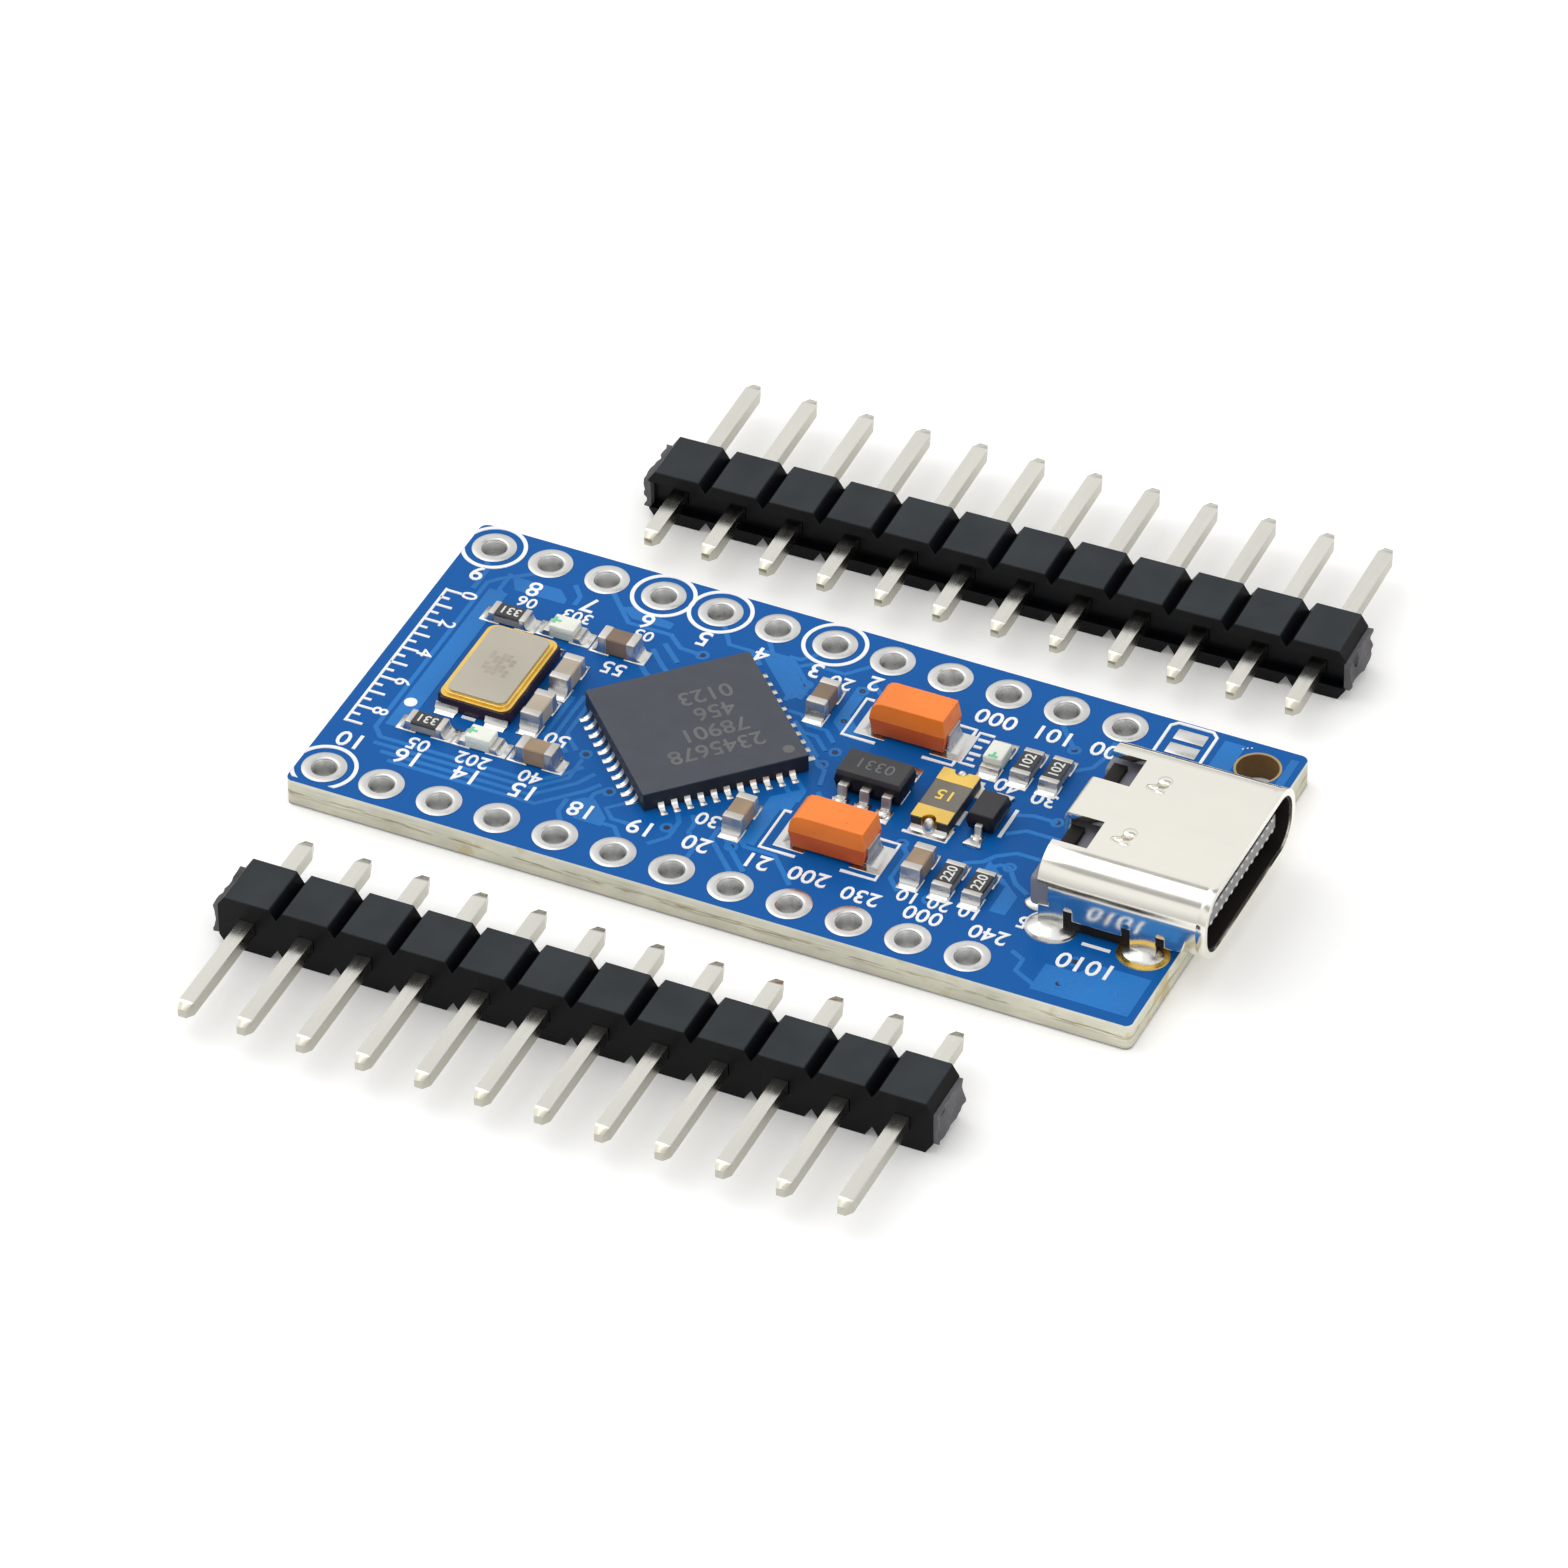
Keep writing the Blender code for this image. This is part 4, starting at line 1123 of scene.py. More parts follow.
class BOARD_OT_leds(Operator):
    """Make the three light-emitting diodes with milky lenses and green die marks"""

    bl_idname = "board.leds"
    bl_label = "Light-emitting diodes"

    def execute(self, context):
        bases, lenses, ends, marks, solder = shape(), shape(), shape(), shape(), shape()
        base = 0.25 * MM
        for node in ("power_led", "transmit_led", "receive_led"):
            middle, (length, width, height), turn = chip_place(node)
            place = move(middle.x, middle.y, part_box(node)[0].z) @ spin(turn)
            merge(bases, block((length, width, base), 0.02 * MM, 1), place @ move(0, 0, base / 2))
            lens = block((1.1 * MM, width, height - base + 2 * HAIR), 0.05 * MM, 3)
            merge(lenses, lens, place @ move(0, 0, (height + base) / 2 - HAIR))
            for side in (-1, 1):
                cap = block((0.3 * MM, width + 2 * HAIR, base + 0.03 * MM), 0.03 * MM, 2)
                merge(ends, cap, place @ move(side * (length / 2 - 0.14 * MM), 0, base / 2))
            for x, z, mark in (
                (-0.44, height, (0.14 * MM, width * 0.5, 0.02 * MM)),
                (-0.28, height - 0.003 * MM, (0.24 * MM, 0.12 * MM, 0.02 * MM)),
            ):
                merge(marks, block(mark, 0.005 * MM, 1), place @ move(x * MM, 0, z))
            end_solder(solder, node, 0.26 * MM, 0.34 * MM)
        substrate = finish("diode base", (0.62, 0.68, 0.58), 0.5, 0.0, 7000, 0.3)
        make_piece("led_bases", bases, substrate)
        milky = finish("milky lens", (0.82, 0.84, 0.76), 0.22, 0.0, 6000, 0.15, 0.06, 0.05, coat=0.4)
        feed(milky.node_tree, milky.node_tree.nodes["Principled BSDF"], {
            "Subsurface Weight": 0.4,
            "Subsurface Radius": (0.5, 0.6, 0.4),
            "Subsurface Scale": 0.6 * MM,
        })
        piece = make_piece("led_lenses", lenses, milky)
        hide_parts("power_led", "transmit_led", "receive_led")
        make_piece("led_ends", ends, terminal_finish())
        green = finish("green mark", (0.16, 0.6, 0.32), 0.4, 0.0, 7000, 0.2)
        make_piece("led_marks", marks, green)
        make_piece("led_solder", solder, solder_finish(), sharp=50)
        return {"FINISHED"}


class BOARD_OT_tantalums(Operator):
    """Make the two orange moulded capacitors with their folded terminals"""

    bl_idname = "board.tantalums"
    bl_label = "Tantalum capacitors"

    def execute(self, context):
        bodies, ends, pads = shape(), shape(), shape()
        for node in ("tantalum_capacitor_far", "tantalum_capacitor_near"):
            low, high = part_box(node)
            middle, size = (low + high) / 2, high - low
            bm = moulded(*size)
            anode = [
                edge for edge in bm.edges
                if all(vert.co.z > size.z / 4 and vert.co.x < -size.x / 3 for vert in edge.verts)
            ]
            bevel(bm, anode, 0.42 * MM, 3)
            ease(bm, 0.045 * MM, 2, 40)
            merge(bodies, bm, Matrix.Translation(middle))
            for side in (-1, 1):
                end = middle.x + side * size.x / 2
                add_block(ends, (0.1 * MM, 1.05 * MM, 0.85 * MM),
                          (end + side * 0.02 * MM, middle.y, low.z + 0.36 * MM), 0.02 * MM)
                add_block(ends, (0.75 * MM, 1.05 * MM, 0.1 * MM),
                          (end - side * 0.28 * MM, middle.y, low.z - 0.03 * MM), 0.02 * MM)
                place = move(end + side * 0.05 * MM, middle.y, TOP)
                place = place @ spin(0 if side > 0 else math.pi)
                merge(pads, solder_foot(0.42 * MM, 0.42 * MM, 1.25 * MM), place)
                pad = block((1.35 * MM, 1.75 * MM, 0.07 * MM), 0.03 * MM, 1)
                merge(pads, pad, place @ move(-0.05 * MM, 0, HAIR))
        tantalum = context.scene.plastic_settings.tantalum
        orange = finish("orange epoxy", tantalum, 0.42, 0.0, 9000, 0.3, 0.07, 0.07, coat=0.08)
        add_flecks(orange, 2200.0, 0.07, (0.6, 0.07, 0.012))
        # Painted shade: below the parting line each body is painted darker, so its lower half looks
        # shaded.
        low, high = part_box("tantalum_capacitor_near")
        seam = (low.z + high.z) / 2 + 0.02 * MM
        repaint_below(orange, seam, (0.52, 0.06, 0.001), strength=0.75)
        piece = make_piece("tantalum_bodies", bodies, orange)
        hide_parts("tantalum_capacitor_far", "tantalum_capacitor_near")
        make_piece("tantalum_terminals", ends, terminal_finish())
        make_piece("tantalum_solder", pads, solder_finish(), sharp=50)
        return {"FINISHED"}


def gull_wing(body_half, foot_end, width, thickness, shoulder):
    """One bent lead: out along +X, down, and along the board to the end of its foot."""
    knee = body_half + (foot_end - body_half) * 0.45
    outline = [
        (body_half - thickness, shoulder + thickness), (body_half - thickness, shoulder),
        (knee - thickness, shoulder), (knee - thickness * 0.6, 0), (foot_end, 0),
        (foot_end, thickness), (knee + thickness * 0.4, thickness), (knee, shoulder + thickness),
    ]
    bm = upright(outline, width, -width / 2)
    ease(bm, thickness * 0.22, 2)
    return bm


class BOARD_OT_leaded_parts(Operator):
    """Make the voltage regulator and the diode: moulded bodies, bent leads and solder"""

    bl_idname = "board.leaded_parts"
    bl_label = "Regulator and diode"

    def execute(self, context):
        compound = finish("moulded epoxy", (0.042, 0.042, 0.046), 0.42, 0.0, 12000, 0.35, 0.12,
                          0.08, specular=0.35)
        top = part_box("voltage_regulator")[1].z
        # Painted shade: from 0.24 mm under the regulator's top downwards, the regulator and diode
        # bodies are painted near black, so their sides look shaded.
        repaint_below(compound, top - 0.24 * MM, (0.004, 0.004, 0.005), 0.05 * MM)
        leads, solder, marks = shape(), shape(), shape()
        # Body length and width, lead width and thickness, and the place and side of each lead
        parts = (
            ("voltage_regulator", 2.9 * MM, 1.6 * MM, 0.4 * MM, 0.15 * MM,
             ((-0.95, -1), (0, -1), (0.95, -1), (-0.95, 1), (0.95, 1))),
            ("diode", 1.25 * MM, 1.7 * MM, 0.3 * MM, 0.12 * MM, ((0, -1), (0, 1))),
        )
        for node, length, width, lead, thickness, places in parts:
            low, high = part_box(node)
            middle, height = (low + high) / 2, high.z - low.z
            bm = moulded(length, width, height - 0.08 * MM)
            ease(bm, 0.04 * MM, 2, 40)
            lift = (middle.x, middle.y, high.z - height / 2 + 0.04 * MM)
            bmesh.ops.translate(bm, verts=bm.verts, vec=lift)
            piece = make_piece(f"{node}_body", bm, compound)
            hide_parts(node)
            end = (high.y - low.y) / 2
            for x, side in places:
                turn = spin(side * math.pi / 2)
                wing = gull_wing(width / 2, end, lead, thickness, height * 0.45)
                merge(leads, wing, move(middle.x + x * MM, middle.y, low.z) @ turn)
                place = move(middle.x + x * MM, middle.y, TOP) @ turn @ move(end, 0)
                foot = solder_foot(0.36 * MM, thickness * 1.3, lead * 1.5)
                merge(solder, foot, place @ move(-0.06 * MM, 0))
                pad = block((0.85 * MM, lead * 1.7, PAD_HEIGHT), 0.025 * MM, 1)
                merge(solder, pad, place @ move(0.02 * MM, 0, HAIR))
                bead = dome((0.7 * MM, lead * 1.35, thickness * 2.2), 2)
                merge(solder, bead, place @ move(-0.12 * MM, 0, 0.04 * MM))
                if node == "diode":
                    wedge = block((0.62 * MM, 0.8 * MM, 0.14 * MM), 0.05 * MM)
                    narrow = [vert for vert in wedge.verts if vert.co.x < 0]
                    bmesh.ops.scale(wedge, vec=(1, 0.45, 0.7), verts=narrow)
                    merge(solder, wedge, place @ move(0.14 * MM, 0, 0.06 * MM))
        low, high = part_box("voltage_regulator")
        spot = ((low.x + high.x) / 2, (low.y + high.y) / 2, high.z - 0.001 * MM)
        add_text(marks, "0331", 0.85 * MM, spot, math.pi, MARK_HEIGHT, 0.0)
        make_piece("leads", leads, terminal_finish())
        make_piece("lead_solder", solder, solder_finish(), sharp=50)
        make_piece("regulator_marks", marks, marking_finish())
        return {"FINISHED"}


class BOARD_OT_fuse(Operator):
    """Make the resettable fuse: grey body, gold ends with half-round notches, solder in them"""

    bl_idname = "board.fuse"
    bl_label = "Resettable fuse"

    def execute(self, context):
        low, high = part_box("resettable_fuse")
        middle, size = (low + high) / 2, high - low
        notch, wall = 0.32 * MM, 0.03 * MM
        notches, ends, tubes, marks, solder = shape(), shape(), shape(), shape(), shape()
        for side in (-1, 1):
            end = middle.y + side * size.y / 2
            add_rod(notches, (middle.x, end, middle.z), notch, 2 * MM, 32)
            for z in (high.z - 0.015 * MM, low.z + 0.02 * MM):
                plate = (middle.x, middle.y + side * (size.y / 2 - 0.39 * MM), z)
                add_block(ends, (size.x, 0.78 * MM, 0.05 * MM), plate, 0.012 * MM, 1)
            tube = ring(notch - wall, notch + wall, 0, size.z, 32)
            cut(tube, (0, 0, 0), (0, side, 0), True)
            bmesh.ops.holes_fill(tube, edges=[edge for edge in tube.edges if edge.is_boundary])
            merge(tubes, tube, move(middle.x, end, low.z))
            bead = dome((notch * 1.7, notch * 1.5, size.z * 1.7), 3)
            merge(solder, bead, move(middle.x, end - side * 0.02 * MM, low.z + 0.12 * MM))
            place = move(middle.x, end, TOP) @ spin(side * math.pi / 2)
            merge(solder, solder_foot(0.4 * MM, 0.2 * MM, 1.55 * MM), place)
            pad = block((1.0 * MM, 1.7 * MM, PAD_HEIGHT), 0.025 * MM, 1)
            merge(solder, pad, place @ move(-0.1 * MM, 0, HAIR))
        body = block((size.x, size.y, size.z - 0.02 * MM), 0.025 * MM, 1)
        bmesh.ops.translate(body, verts=body.verts, vec=middle)
        body = carve(body, notches.copy())
        core = finish("fuse body", (0.16, 0.145, 0.12), 0.5, 0.0, 8000, 0.3, 0.12)
        repaint_below(core, high.z - 0.07 * MM, (0.02, 0.018, 0.018))
        piece = make_piece("fuse_body", body, core)
        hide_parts("resettable_fuse")
        ends = carve(ends, notches)
        merge(ends, tubes)
        make_piece("fuse_ends", ends, gold_finish())
        spot = (middle.x, middle.y, high.z - 0.012 * MM)
        add_text(marks, "15", 0.85 * MM, spot, math.pi, 0.02 * MM)
        yellow = finish("yellow mark", (0.85, 0.6, 0.1), 0.45, 0.0, 8000, 0.2)
        make_piece("fuse_marks", marks, yellow)
        make_piece("fuse_solder", solder, solder_finish(), sharp=50)
        return {"FINISHED"}


# ---------------------------------------------------------------- USB-C socket

USB_WALL = 0.3 * MM
USB_CORNER = 1.4 * MM
USB_HEIGHT = 3.16 * MM
USB_TUBE_LENGTH = 7.1 * MM
WINDOW_DEPTH = 1.45 * MM
WINDOW_EDGES = (1.175 * MM, 2.925 * MM)
LEG_PLACES = (2.6 * MM, 6.5 * MM)
LEG_WIDTH = 1.1 * MM
SLOT_WIDTH = 0.34 * MM
SLOT_TOP = -0.32 * MM
SKIRT_TOP = -0.17 * MM
SKIRT_HEM = -0.95 * MM
NOTCH_DEPTH = 0.5 * MM
CONTACT_COUNT = 12
CONTACT_PITCH = 0.5 * MM
TONGUE_WIDTH = 6.69 * MM


def usb_frame():
    """Front of the socket, its middle across, its middle height and its width."""
    low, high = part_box("usb_shell")
    return high.x, (low.y + high.y) / 2, high.z - USB_HEIGHT / 2, high.y - low.y


def shell_tube(width):
    """The folded tube with two windows at its back, a bent flap between them and eased edges."""
    bm = round_tube(USB_TUBE_LENGTH, width, USB_HEIGHT, USB_CORNER, 14)
    ends = [face for face in bm.faces if abs(face.normal.x) > 0.5]
    bmesh.ops.delete(bm, geom=ends, context="FACES")
    back = -USB_TUBE_LENGTH / 2
    front = back + WINDOW_DEPTH
    flare = USB_TUBE_LENGTH / 2 - 0.34 * MM
    for x in (front, flare, flare - 0.06 * MM):
        cut(bm, (x, 0, 0), (1, 0, 0))
    for side in (-1, 1):
        for edge in WINDOW_EDGES:
            cut(bm, (0, side * edge, 0), (0, 1, 0))
    rim = [vert for vert in bm.verts if vert.co.x > flare - HAIR]
    flared = 0.05 * MM
    bmesh.ops.scale(bm, vec=(1, 1 + flared / width, 1 + flared / USB_HEIGHT), verts=rim)
    inner, outer = WINDOW_EDGES
    windows = []
    for face in bm.faces:
        middle = face.calc_center_median()
        if middle.z > USB_HEIGHT / 4 and middle.x < front and inner < abs(middle.y) < outer:
            windows.append(face)
    bmesh.ops.delete(bm, geom=windows, context="FACES")

    def on_flap(vert):
        return vert.co.x < back + HAIR and abs(vert.co.y) < inner + HAIR and vert.co.z > 0

    edges = [edge for edge in bm.edges if all(on_flap(vert) for vert in edge.verts)]
    bend, steps = 0.42 * MM, 6
    stride = bend * math.pi / 2 / steps
    reach = stride * 0.27 * MM / (bend * 0.98)
    angles = [math.pi / 2 * (step + 0.5) / steps for step in range(steps)]
    strides = [(-reach * math.cos(angle), 0, -stride * math.sin(angle)) for angle in angles]
    for shift in (*strides, (0, 0, -1.9 * MM)):
        made = bmesh.ops.extrude_edge_only(bm, edges=edges)["geom"]
        verts = [item for item in made if isinstance(item, bmesh.types.BMVert)]
        edges = [item for item in made if isinstance(item, bmesh.types.BMEdge)
                 and all(vert in verts for vert in item.verts)]
        bmesh.ops.translate(bm, verts=verts, vec=shift)
    bmesh.ops.recalc_face_normals(bm, faces=bm.faces[:])
    upper = [face for face in bm.faces if face.calc_center_median().z > 0]
    if sum(face.normal.z * face.calc_area() for face in upper) < 0:
        bmesh.ops.reverse_faces(bm, faces=bm.faces[:])
    bmesh.ops.solidify(bm, geom=bm.faces[:], thickness=USB_WALL)
    bmesh.ops.recalc_face_normals(bm, faces=bm.faces[:])
    ease(bm, 0.06 * MM, 3, 60)
    return bm


def shell_skirt(side, width):
    """One side's plate below the tube: two legs, slots beside them and a small hooked foot."""
    front = USB_TUBE_LENGTH / 2
    slot_foot, slot_corner = SLOT_TOP - 0.12 * MM, SLOT_TOP - 0.14 * MM
    leg_foot = -USB_HEIGHT / 2 - 0.75 * MM
    outline = [(front - 0.75 * MM, SKIRT_TOP), (front - 0.95 * MM, SKIRT_HEM + 0.1 * MM),
               (front - 1.25 * MM, SKIRT_HEM + 0.02 * MM)]
    for place in LEG_PLACES:
        slot = [(SLOT_WIDTH, SKIRT_HEM), (SLOT_WIDTH, slot_foot), (SLOT_WIDTH * 0.75, SLOT_TOP),
                (SLOT_WIDTH * 0.25, SLOT_TOP), (0, slot_corner)]
        leg_front = front - place + LEG_WIDTH / 2
        leg_back = leg_front - LEG_WIDTH
        outline += [(leg_front + x, z) for x, z in slot]
        outline += [(leg_front, leg_foot), (leg_back, leg_foot)]
        if place == LEG_PLACES[0]:
            outline += [(leg_back - x, z) for x, z in reversed(slot)]
    notch = NOTCH_DEPTH - front
    outline += [(leg_back, -0.5 * MM), (notch, -0.5 * MM), (notch, SKIRT_TOP)]
    bm = upright(outline, USB_WALL, 0)
    ease(bm, 0.05 * MM, 2, 50)
    shift = side * (width - USB_WALL) / 2 - USB_WALL / 2
    bmesh.ops.translate(bm, verts=bm.verts, vec=(0, shift, 0))
    return bm


class BOARD_OT_usb_shell(Operator):
    """Make the socket's folded metal shell with its windows, flap, dimples, skirts and legs"""

    bl_idname = "board.usb_shell"
    bl_label = "USB-C shell"

    def execute(self, context):
        front, middle_y, middle_z, width = usb_frame()
        bm = shell_tube(width)
        back = -USB_TUBE_LENGTH / 2
        # Each lobe of a dimple: how it joins, its place from the dimple's middle and its size
        dimple = (
            ("DIFFERENCE", -0.16, -0.24, (0.62 * MM, 0.46 * MM, 0.26 * MM)),
            ("DIFFERENCE", 0.12, 0.05, (0.5 * MM, 0.4 * MM, 0.2 * MM)),
            ("UNION", 0.12, 0.34, (0.6 * MM, 0.56 * MM, 0.2 * MM)),
            ("UNION", 0.16, -0.34, (0.44 * MM, 0.38 * MM, 0.16 * MM)),
        )
        for side in (-1, 1):
            for operation, x, y, size in dimple:
                lobe = dome(size, 3)
                spot = (back + (2.5 + x) * MM, (side * 1.72 + y) * MM, USB_HEIGHT / 2 - HAIR)
                bmesh.ops.translate(lobe, verts=lobe.verts, vec=spot)
                bm = carve(bm, lobe, operation)
            notch = block((2 * NOTCH_DEPTH, 1.6 * MM, 1.35 * MM), 0.1 * MM)
            bmesh.ops.translate(notch, verts=notch.verts, vec=(back, side * 4.4 * MM, -0.1 * MM))
            bm = carve(bm, notch)
        for side in (-1, 1):
            merge(bm, shell_skirt(side, width))
        bmesh.ops.translate(bm, verts=bm.verts, vec=(front + back, middle_y, middle_z))
        nickel = finish("nickel plating", context.scene.metal_settings.nickel, 0.15, 1.0, 2600, 0.06,
                        0.03, 0.03, stretch=(0.35, 1, 1), depth=0.004)
        piece = make_piece("usb_shell_folded", bm, nickel, sharp=35)
        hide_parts("usb_shell")
        return {"FINISHED"}


def usb_insulator(tip):
    """The moulded insulator: back, flange, tongue, the tongue's thick root and two rear corners."""
    front, middle_y, middle_z, width = usb_frame()
    rear = front - USB_TUBE_LENGTH
    root = rear + 1.9 * MM
    room = 2 * (USB_WALL + 0.02 * MM)
    bm = shape()
    for length, breadth, height, x, radius in (
        (2.0 * MM, width - room, USB_HEIGHT - room - 0.9 * MM, rear + 1.0 * MM, 0.7 * MM),
        (0.6 * MM, width - room, USB_HEIGHT - room, rear + 1.7 * MM, 1.08 * MM),
        (tip - root, TONGUE_WIDTH, 0.7 * MM, (tip + root) / 2, 0.1 * MM),
        (0.9 * MM, TONGUE_WIDTH, 1.5 * MM, rear + 2.4 * MM, 0.2 * MM),
    ):
        part = block((length, breadth, height))
        ease(part, radius, 8, 60, along("X"))
        ease(part, 0.03 * MM, 1, 60)
        merge(bm, part, move(x, middle_y, middle_z))
    for side in (-1, 1):
        place = (rear + 0.3 * MM, middle_y + side * 3.6 * MM, middle_z - 0.05 * MM)
        add_block(bm, (1.3 * MM, 1.5 * MM, 1.45 * MM), place, 0.18 * MM, 3)
    return bm


def usb_painted_shade():
    """Painted shade inside the socket: near-black blocks, a sleeve in the mouth and fillings behind the
    openings, that stand in for the shade there.
    """
    front, middle_y, middle_z, width = usb_frame()
    rear = front - USB_TUBE_LENGTH
    length = 4.4 * MM
    outer = 2 * (USB_WALL + 0.005 * MM)
    inner = outer + 0.12 * MM
    sleeve, bore = (
        round_tube(reach, width - gap, USB_HEIGHT - gap, USB_CORNER - gap / 2, 12)
        for reach, gap in ((length, outer), (length * 1.1, inner))
    )
    bm = carve(sleeve, bore)
    middle = (front - 0.1 * MM - length / 2, middle_y, middle_z)
    bmesh.ops.translate(bm, verts=bm.verts, vec=middle)
    for side in (-1, 1):
        place = (rear + 0.36 * MM, middle_y + side * 2.05 * MM, middle_z + 0.6 * MM)
        add_block(bm, (0.6 * MM, 1.7 * MM, 0.9 * MM), place, 0.05 * MM)
    first, last = LEG_PLACES[0] + LEG_WIDTH / 2, LEG_PLACES[1] - LEG_WIDTH / 2
    for side in (-1, 1):
        wall_y = middle_y + side * (width / 2 - 0.2 * MM)
        slots = (LEG_PLACES[0] - (LEG_WIDTH + SLOT_WIDTH) / 2, first + SLOT_WIDTH / 2,
                 last - SLOT_WIDTH / 2)
        for slot in slots:
            add_block(bm, (SLOT_WIDTH, 0.3 * MM, SLOT_TOP - SKIRT_HEM),
                      (front - slot, wall_y, middle_z + (SLOT_TOP + SKIRT_HEM) / 2))
        add_block(bm, (last - first + 0.1 * MM, 0.16 * MM, 0.66 * MM),
                  (front - (first + last) / 2, wall_y - side * 0.08 * MM,
                   middle_z + SKIRT_HEM - 0.26 * MM))
    return bm


class BOARD_OT_usb_inside(Operator):
    """Finish the socket's insulator, the near-black blocks of painted shade inside it, and the contacts
    on its tongue
    """

    bl_idname = "board.usb_inside"
    bl_label = "USB-C insulator and contacts"

    def execute(self, context):
        front, middle_y, middle_z, _ = usb_frame()
        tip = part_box("usb_insulator")[1].x
        insulator = context.scene.plastic_settings.insulator
        grey = finish("insulator plastic", insulator, 0.45, 0.0, 7000, 0.25, 0.1)
        piece = make_piece("usb_insulator_moulded", usb_insulator(tip), grey)
        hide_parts("usb_insulator")
        # Painted shade: near-black blocks stand in for the shade in the socket's mouth, behind its
        # windows and slots and under its skirts.
        dark = finish("painted inner shade", (0.012, 0.01, 0.009), 0.5, 0.0, 7000, 0.2, specular=0.2)
        make_piece("usb_painted_shade", usb_painted_shade(), dark)
        tail_x = front - USB_TUBE_LENGTH - 0.35 * MM
        contacts, tongue, teeth, tails, solder = shape(), shape(), shape(), shape(), shape()
        for index in range(CONTACT_COUNT):
            y = middle_y + (index - (CONTACT_COUNT - 1) / 2) * CONTACT_PITCH
            for side in (-1, 1):
                add_block(contacts, (2.6 * MM, 0.26 * MM, 0.05 * MM),
                          (tip - 1.55 * MM, y, middle_z + side * 0.35 * MM), 0.012 * MM, 1)
            add_block(tails, (0.8 * MM, 0.24 * MM, 0.12 * MM),
                      (tail_x + 0.1 * MM, y, PART_FLOOR + 0.05 * MM), 0.02 * MM, 1)
            add_block(solder, (0.95 * MM, 0.3 * MM, PAD_HEIGHT),
                      (tail_x - 0.05 * MM, y, TOP + HAIR), 0.02 * MM, 1)
        make_piece("usb_contacts", contacts, gold_finish())
        add_block(tongue, (0.62 * MM, TONGUE_WIDTH + 0.03 * MM, 0.7 * MM),
                  (tip - 0.06 * MM, middle_y, middle_z), 0.05 * MM)
        lip = finish("tongue plastic", (0.2, 0.2, 0.21), 0.4, 0.0, 5000, 0.2)
        make_piece("usb_tongue_tip", tongue, lip)
        for index in range(CONTACT_COUNT + 1):
            y = middle_y + (index - CONTACT_COUNT / 2) * CONTACT_PITCH
            for side in (-1, 1):
                add_block(teeth, (0.2 * MM, 0.2 * MM, 0.16 * MM),
                          (tip + 0.18 * MM, y, middle_z + side * 0.27 * MM), 0.03 * MM, 1)
        make_piece("usb_teeth", teeth, terminal_finish())
        for side in (-1, 1):
            y = middle_y + side * 3.35 * MM
            add_block(tails, (1.0 * MM, 0.62 * MM, 0.14 * MM),
                      (tail_x + 0.2 * MM, y, PART_FLOOR + 0.06 * MM), 0.03 * MM)
            bead = dome((1.3 * MM, 0.85 * MM, 0.42 * MM), 3)
            merge(solder, bead, move(tail_x, y, TOP + 0.03 * MM))
        make_piece("usb_tails", tails, solder_finish())
        make_piece("usb_tail_solder", solder, solder_finish(), sharp=50)
        return {"FINISHED"}


class BOARD_OT_usb_joints(Operator):
    """Make the pads and solder of the socket's four legs"""

    bl_idname = "board.usb_joints"
    bl_label = "USB-C leg joints"

    def execute(self, context):
        front, middle_y, _, width = usb_frame()
        pads, solder = shape(), shape()
        pad = [(0.5 * MM, 0), (0.98 * MM, 0), (0.96 * MM, 0.05 * MM), (0.5 * MM, 0.06 * MM)]
        for side in (-1, 1):
            y = middle_y + side * (width - USB_WALL) / 2
            for place, pad_piece, spread in zip(LEG_PLACES, (pads, solder), (1.65, 1.95)):
                x = front - place
                oval = Matrix.Diagonal((1.12, 0.98, 1, 1))
                merge(pad_piece, lathe(pad, 40), move(x, y + side * 0.06 * MM, TOP) @ oval)
                cone = [(0, 0), (0.5 * spread * MM, 0), (0.47 * spread * MM, 0.07 * MM),
                        (0.36 * spread * MM, 0.12 * MM), (0.24 * spread * MM, 0.24 * MM),
                        (0, 0.34 * MM)]
                oval = Matrix.Diagonal((1.08, 0.86, 1, 1))
                merge(solder, lathe(cone, 36), move(x, y + side * 0.05 * MM, TOP) @ oval)
        make_piece("usb_leg_pads", pads, gold_finish(), sharp=50)
        make_piece("usb_leg_solder", solder, solder_finish(), sharp=60)
        return {"FINISHED"}


# ---------------------------------------------------------------- header strips

HOUSING_LENGTH = PIN_COUNT * PITCH
HOUSING_DEPTH = 2.5 * MM
PIN_SIDE = 0.64 * MM
PIN_LONG_END = 5.6 * MM
PIN_SHORT_END = 2.9 * MM
PIN_TIP = 0.45 * MM


def strip_place(side_name):
    """Where a strip lies: its housing's middle, turned so that its short pins point along +Y."""
    low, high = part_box(f"{side_name}_header_housing")
    ends = [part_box(f"{side_name}_pin_{number:02d}") for number in (1, PIN_COUNT)]
    first, last = ((box_low + box_high) / 2 for box_low, box_high in ends)
    turn = math.atan2(last.y - first.y, last.x - first.x)
    if side_name == "far":
        turn += math.pi
    return Matrix.Translation((low + high) / 2) @ spin(turn)


